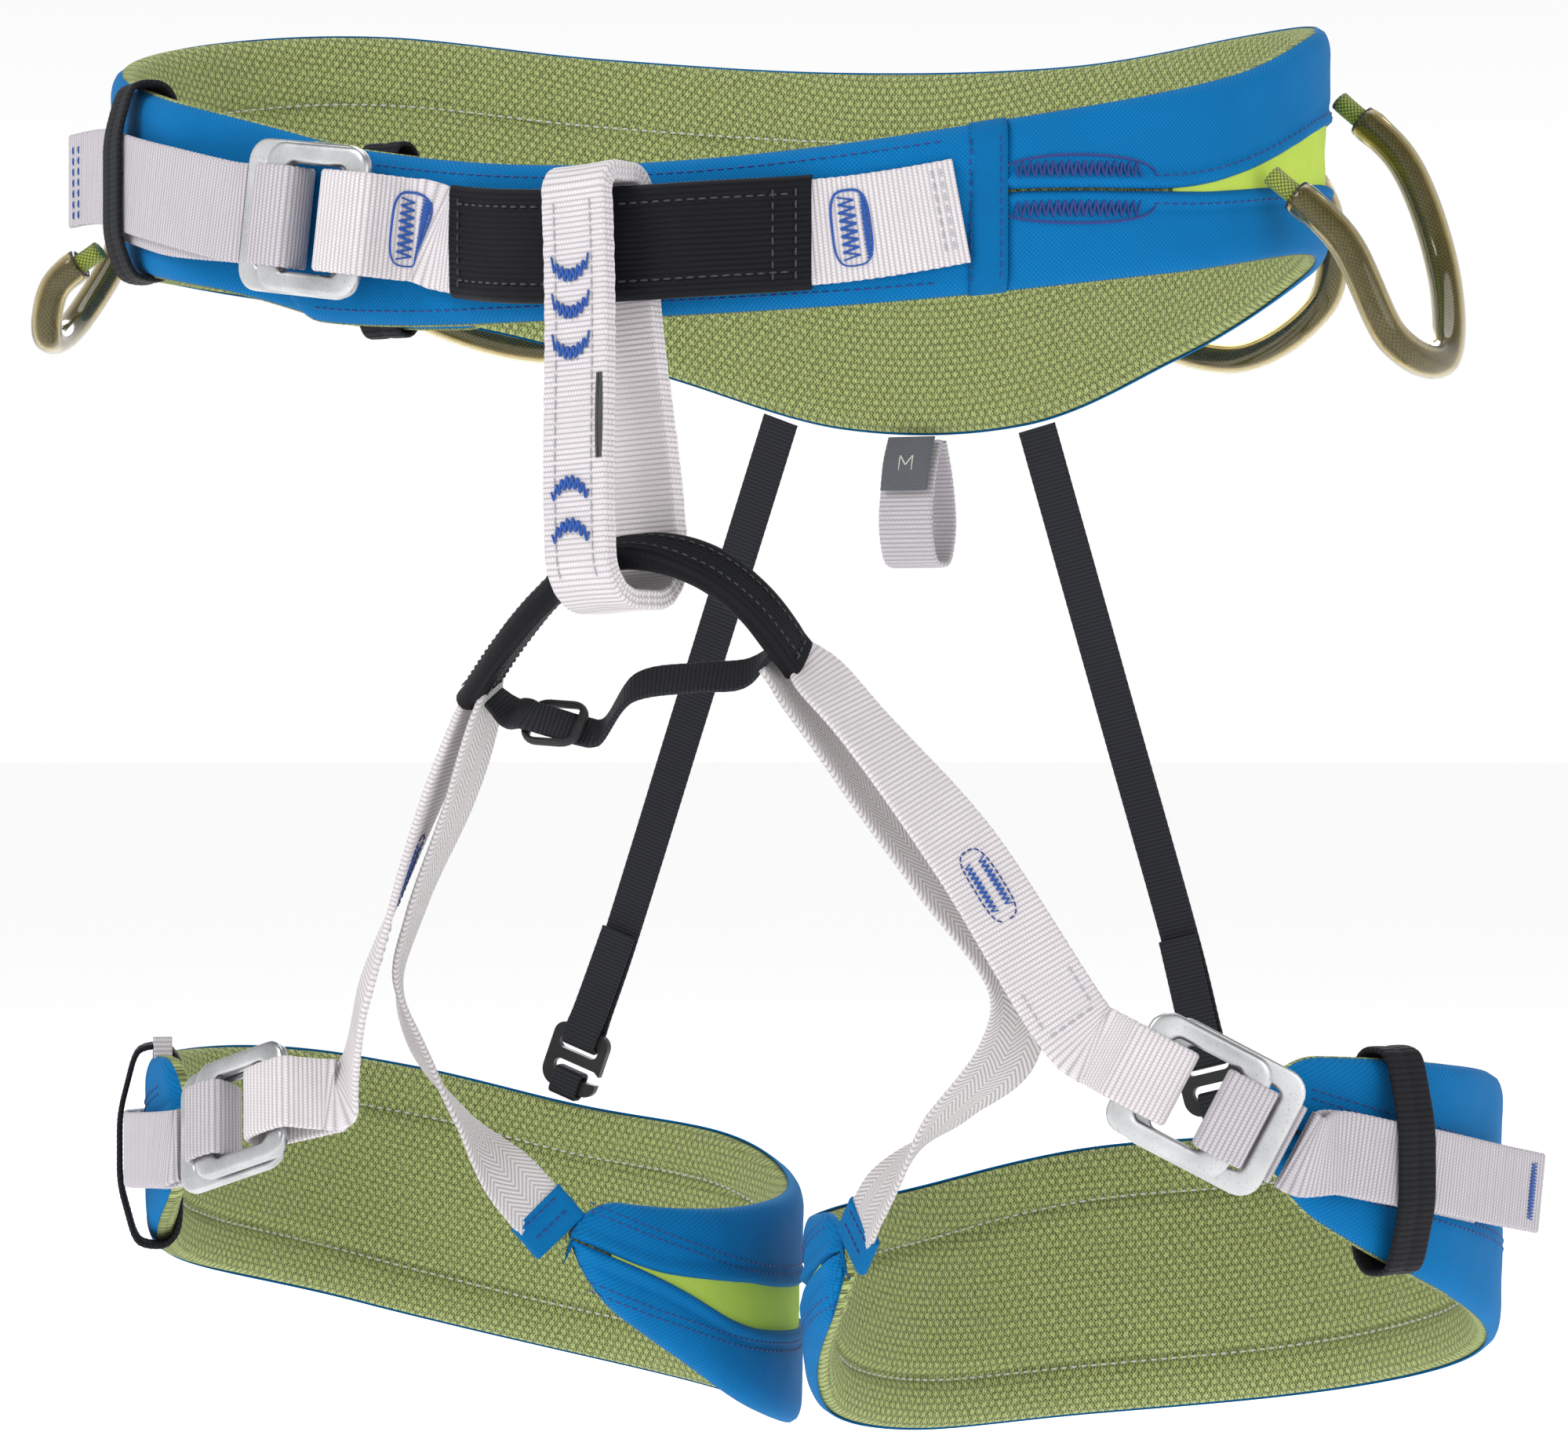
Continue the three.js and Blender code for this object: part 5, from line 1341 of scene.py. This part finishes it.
def leg_straps(name, side):
    """The adjusting strap behind its free end, and the elastic keeper round both."""
    rides, place = f"leg_{name}", LEG_BUCKLE[name]
    at = lambda angle, offset: leg(side, angle, offset, leg_strap_z(side, angle))
    ends = [place.at(LEG_SIZE * x, 0, -3.1) for x in (-24.1, -27)]
    shared = ends + [at(46, 4.2), at(56, 3), at(66, 2.8)]
    width = [side * place.y] * 2 + [-UP] * 5
    layer = Path(shared + [at(80, 2.8)], width[:6], lift=LAYER_LIFT * side)
    strap = webbing(f"{rides}_strap_band", layer, LEG_WEB, STRAP, GREY, rides, 0.95, 0.09)
    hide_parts(f"leg_{name}_strap")
    layer = Path(shared + [at(80, 3.4), at(93, 9)], width, lift=-LAYER_LIFT * side)
    tail = webbing(f"{rides}_strap_end", layer, LEG_WEB, STRAP, GREY, rides, 0.95, 0.09)
    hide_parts(f"leg_{name}_strap_tail")
    face = web_surface(layer, -side * STRAP / 2)
    tack = zigzag(moved(face, layer.s[-1] - 5, 0), 14, 2.6, 0.8, turned=True)
    threads(f"{rides}_strap_end_tack", [tack], BLUE_THREAD, rides, 0.25, solid=True)
    low, z = leg_drop(side, vec(60))[0], leg_strap_z(side, 60)
    outwards = unit(leg(side, 60, 1, 0) - leg(side, 60, 0, 0))
    keeper(f"{rides}_band", f"leg_{name}_keeper", leg(side, 60, 0, 0), outwards, -249.6 + low, -197 + low,
           -PAD_DEPTH - 0.2, 0.7, rides, (z - 10.3, z + 10.3, 5.7))


def rear_elastic(name):
    top_x, top_angle = ELASTIC_TOP[name]
    top = vec(top_x, belt(top_angle, -4, 0)[1], belt_bottom(top_angle) - 1.2)
    hook = HOOK[name]
    drop = unit((top - hook) * vec(1, 0, 1))
    across = unit(np.cross(vec(0, 1, 0), drop))
    place = Place(hook, across, (0, -1, 0))
    stops = [top, (top + place.at(0, 34, -2.6)) / 2] + [place.at(0, y, z) for y, z in (
        (34, -2.6), (14, -2.4), (8.5, -2.7), (4.9, -2.1), (3.9, 0), (4.9, 2.1), (8.5, 2.7), (14, 1.6),
        (40, 0.2))]
    path = Path(stops, [across] * len(stops))
    band = webbing(f"elastic_{name}", path, 11, 1.2, BLACK_ELASTIC, f"elastic_{name}", 1.1, 0.1)
    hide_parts(f"rear_elastic_{name}")
    face = web_surface(path, 0.6)
    end = path.s[-1]
    lines = [column(face, end - 3, -4.5, 4.5), column(face, end - 9, -4.5, 4.5)]
    threads(f"elastic_{name}_stitch", lines, GREY_THREAD, f"elastic_{name}", 0.2, 1.2, 0.8)
    frame["nodes"][f"hook_{name}"].material_slots[0].material = PLASTIC
    # the leg loop's tab through the hook
    outline = round_rect(-10.95, -3.65, -2.4, 2.4, 1.3, 7, 14)
    ahead = np.roll(outline, -1, 0) - np.roll(outline, 1, 0)
    normal = unit(np.stack([ahead[:, 1], -ahead[:, 0]], 1))
    xs, ys = section(9, 1.2, 13, 3)
    yz = outline[:, None] + normal[:, None] * ys[None, :, None]
    rows = place.at(xs[None] + 0 * yz[..., 0], yz[..., 0], yz[..., 1])
    run = np.cumsum(np.linalg.norm(np.diff(outline, axis=0, append=outline[:1]), axis=1))
    weave = joined(run[:, None], xs[None], 0)
    tab = body(f"leg_{name}_tab", rows, weave, BLACK_ELASTIC, f"leg_{name}", closed=True)
    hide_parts(f"leg_{name}_hook_tab")


for name, side in (("left", 1), ("right", -1)):
    buckle(f"leg_{name}", LEG_WEB, LEG_SIZE, LEG_BUCKLE[name], f"leg_{name}_buckle")
    riser = leg_risers(name, side)
    leg_straps(name, side)
    riser_stitches(name, riser)
    rear_elastic(name)

# ---- gear loops, haul loop and labels -------------------------------------------------------------

def gear_loop(name, first, second, out, down):
    (angle_a, z_a), (angle_b, z_b) = first, second
    away = belt_normal((angle_a + angle_b) / 2)
    a = belt(angle_a, 0, z_a) + belt_normal(angle_a) * 2.6
    b = belt(angle_b, 0, z_b) + belt_normal(angle_b) * 2.6
    reach = away * out - UP * down
    low = lambda share, depth, push: a + (b - a) * share + reach * depth + away * push
    points = [a, low(0.02, 0.3, 7), low(0.1, 0.76, 2), low(0.5, 1, 0), low(0.9, 0.76, 2),
              low(0.98, 0.3, 7), b]
    flat = unit(np.cross(unit(b - a), reach))
    path = Path(points, [flat] * 7, step=1.6, power=0)
    cord = tube(f"gear_cord_{name}_braid", path, 2.6, BRAID, f"gear_{name}", 12)
    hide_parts(f"gear_cord_{name}")
    t = np.linspace(0, 1, 1600)
    line = curve(points, 0)(t)
    run = lengths(line)
    keep = (path.s > np.interp(0.05, t, run)) & (path.s < np.interp(0.95, t, run))
    for key in ("s", "p", "out", "along", "across"):
        setattr(path, key, getattr(path, key)[keep])
    s = path.s - path.s[0]
    radius = 4.15 + 0.25 * (np.exp(-((s - 3) / 2) ** 2) + np.exp(-((s[-1] - 3 - s) / 2) ** 2))
    tubing = tube(f"gear_tube_{name}", path, radius, SHEATH, f"gear_{name}", 20, hole=3.1)
    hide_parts(f"gear_loop_{name}")


gear_loop("front_left", (74, 15.5), (106, 41), 35, 56)
gear_loop("rear_left", (122, 30), (156, 26), 22, 46)
gear_loop("front_right", (-66, 9), (-100, 40), 20, 33)
gear_loop("rear_right", (-128, 34), (-164, 26), 22, 38)


def strip(name, node, place, outline, width, thickness, look, rides, rib=0.95, depth=0.06):
    outline = np.array(outline, float)
    path = Path(place.at(outline[:, 0], outline[:, 1], 0), [place.z] * len(outline), power=0, clamped=True)
    piece = webbing(name, path, width, thickness, look, rides, rib, depth)
    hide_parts(node)
    return path


haul_place = Place((CENTRE_X + 3, 97.5, -37.6), (0, 1, 0), (1, 0, 0))
haul = strip("haul_band", "haul_loop", haul_place, [
    (-1.6, -1), (-6.8, -12), (-9.2, -24), (-6, -33.5), (0, -35.5), (6, -33.5), (9.2, -24), (6.8, -12),
    (1.6, -1),
], 16, STRAP, GREY, "haul_hanger", 1.1, 0.12)
label = strip("size_tag", "size_label", haul_place, [(-4.6, 0), (-8.6, -7), (-10.7, -15)], 14, 0.8, LABEL,
              "haul_hanger")
letter = [(-1.9, -2.2), (-1.9, 2.2), (0, -0.7), (1.9, 2.2), (1.9, -2.2)]
for sign in (1, -1):
    face = web_surface(label, sign * 0.4)
    if face(8.0, 0.0)[1][1] < 0:  # the face that looks forwards
        steps = np.linspace(0, 4, 60)
        x, y = (np.interp(steps, range(5), [p[k] for p in letter]) for k in (0, 1))
        threads("size_letter", [face(8.5 - y, x)], SILVER_THREAD, "haul_hanger", 0.26, solid=True, lift=0.05,
                slot="label_fabric")
normal = unit(leg(-1, 56, 1, 0) - leg(-1, 56, 0, 0))
strip("leg_right_tag", "leg_right_label_loop", Place(leg(-1, 56, -5, -202.4), np.cross(normal, UP), normal),
      [(-0.7, 0), (-2, 6), (-2.6, 12), (0, 15), (3.4, 12), (3, 6), (1, 0)], 5, 0.7, GREY, "leg_right",
      0.8, 0.05)

# ---- floor, light and camera ----------------------------------------------------------------------

def stage_floor(height=-0.372, radius=30.0):
    mesh = bpy.data.meshes.new("floor")
    turn = np.linspace(0, 2 * math.pi, 96, endpoint=False)
    rim = [(radius * math.cos(t), radius * math.sin(t), height) for t in turn]
    mesh.from_pydata(rim, [], [list(range(len(rim)))])
    obj = bpy.data.objects.new("floor", mesh)
    bpy.context.scene.collection.objects.link(obj)
    look = Look("pale floor", 0.75)
    where = look.tree.nodes.new("ShaderNodeTexCoord").outputs["Object"]
    look.paint(look.mix(look.noise(3.0, 3, where), linear(243, 243, 244), linear(247, 247, 248)))
    look.set("Emission Color", (1, 1, 1, 1))
    look.set("Emission Strength", 0.5)
    mesh.materials.append(look.mat)


def soft_light(name, place, target, size, power, colour=(1, 1, 1)):
    data = bpy.data.lights.new(name, "AREA")
    data.shape, data.size, data.energy, data.color = "DISK", size, power, colour
    obj = bpy.data.objects.new(name, data)
    bpy.context.scene.collection.objects.link(obj)
    obj.location = place
    obj.rotation_euler = (Vector(target) - Vector(place)).to_track_quat("-Z", "Y").to_euler()


TARGET = (0.020, 0.0085, -0.118)
stage_floor()
soft_light("key", (-0.9, -1.5, 1.3), TARGET, 0.9, 16)
soft_light("fill", (1.7, -0.9, 0.3), TARGET, 1.2, 5)
soft_light("top", (0.1, 0.3, 1.6), TARGET, 1.3, 8)
soft_light("back", (-0.6, 1.6, 0.7), TARGET, 1.0, 8)
world = bpy.data.worlds.new("studio")
world.use_nodes = True
sky = world.node_tree.nodes["Background"]
sky.inputs["Color"].default_value = (1, 1, 1, 1)
# white at eye level, dimmer overhead, so that round and shiny things have something to shade against
height = world.node_tree.nodes.new("ShaderNodeSeparateXYZ")
ramp = world.node_tree.nodes.new("ShaderNodeMapRange")
for socket, value in zip(list(ramp.inputs)[1:5], (0.12, 0.75, 1.0, 0.32)):
    socket.default_value = value
where = world.node_tree.nodes.new("ShaderNodeTexCoord")
world.node_tree.links.new(where.outputs["Generated"], height.inputs[0])
world.node_tree.links.new(height.outputs["Z"], ramp.inputs["Value"])
world.node_tree.links.new(ramp.outputs["Result"], sky.inputs["Strength"])
bpy.context.scene.world = world
bpy.context.scene.view_settings.view_transform = "Standard"

camera = bpy.data.objects.new("camera", bpy.data.cameras.new("camera"))
bpy.context.scene.collection.objects.link(camera)
camera.location = (0.4889, -1.0961, -0.118)
camera.rotation_euler = (math.radians(90), 0, math.radians(23))
camera.data.lens = 104.8
camera.data.sensor_width = 36
camera.data.sensor_fit = "HORIZONTAL"
bpy.context.scene.camera = camera

bpy.context.view_layer.update()
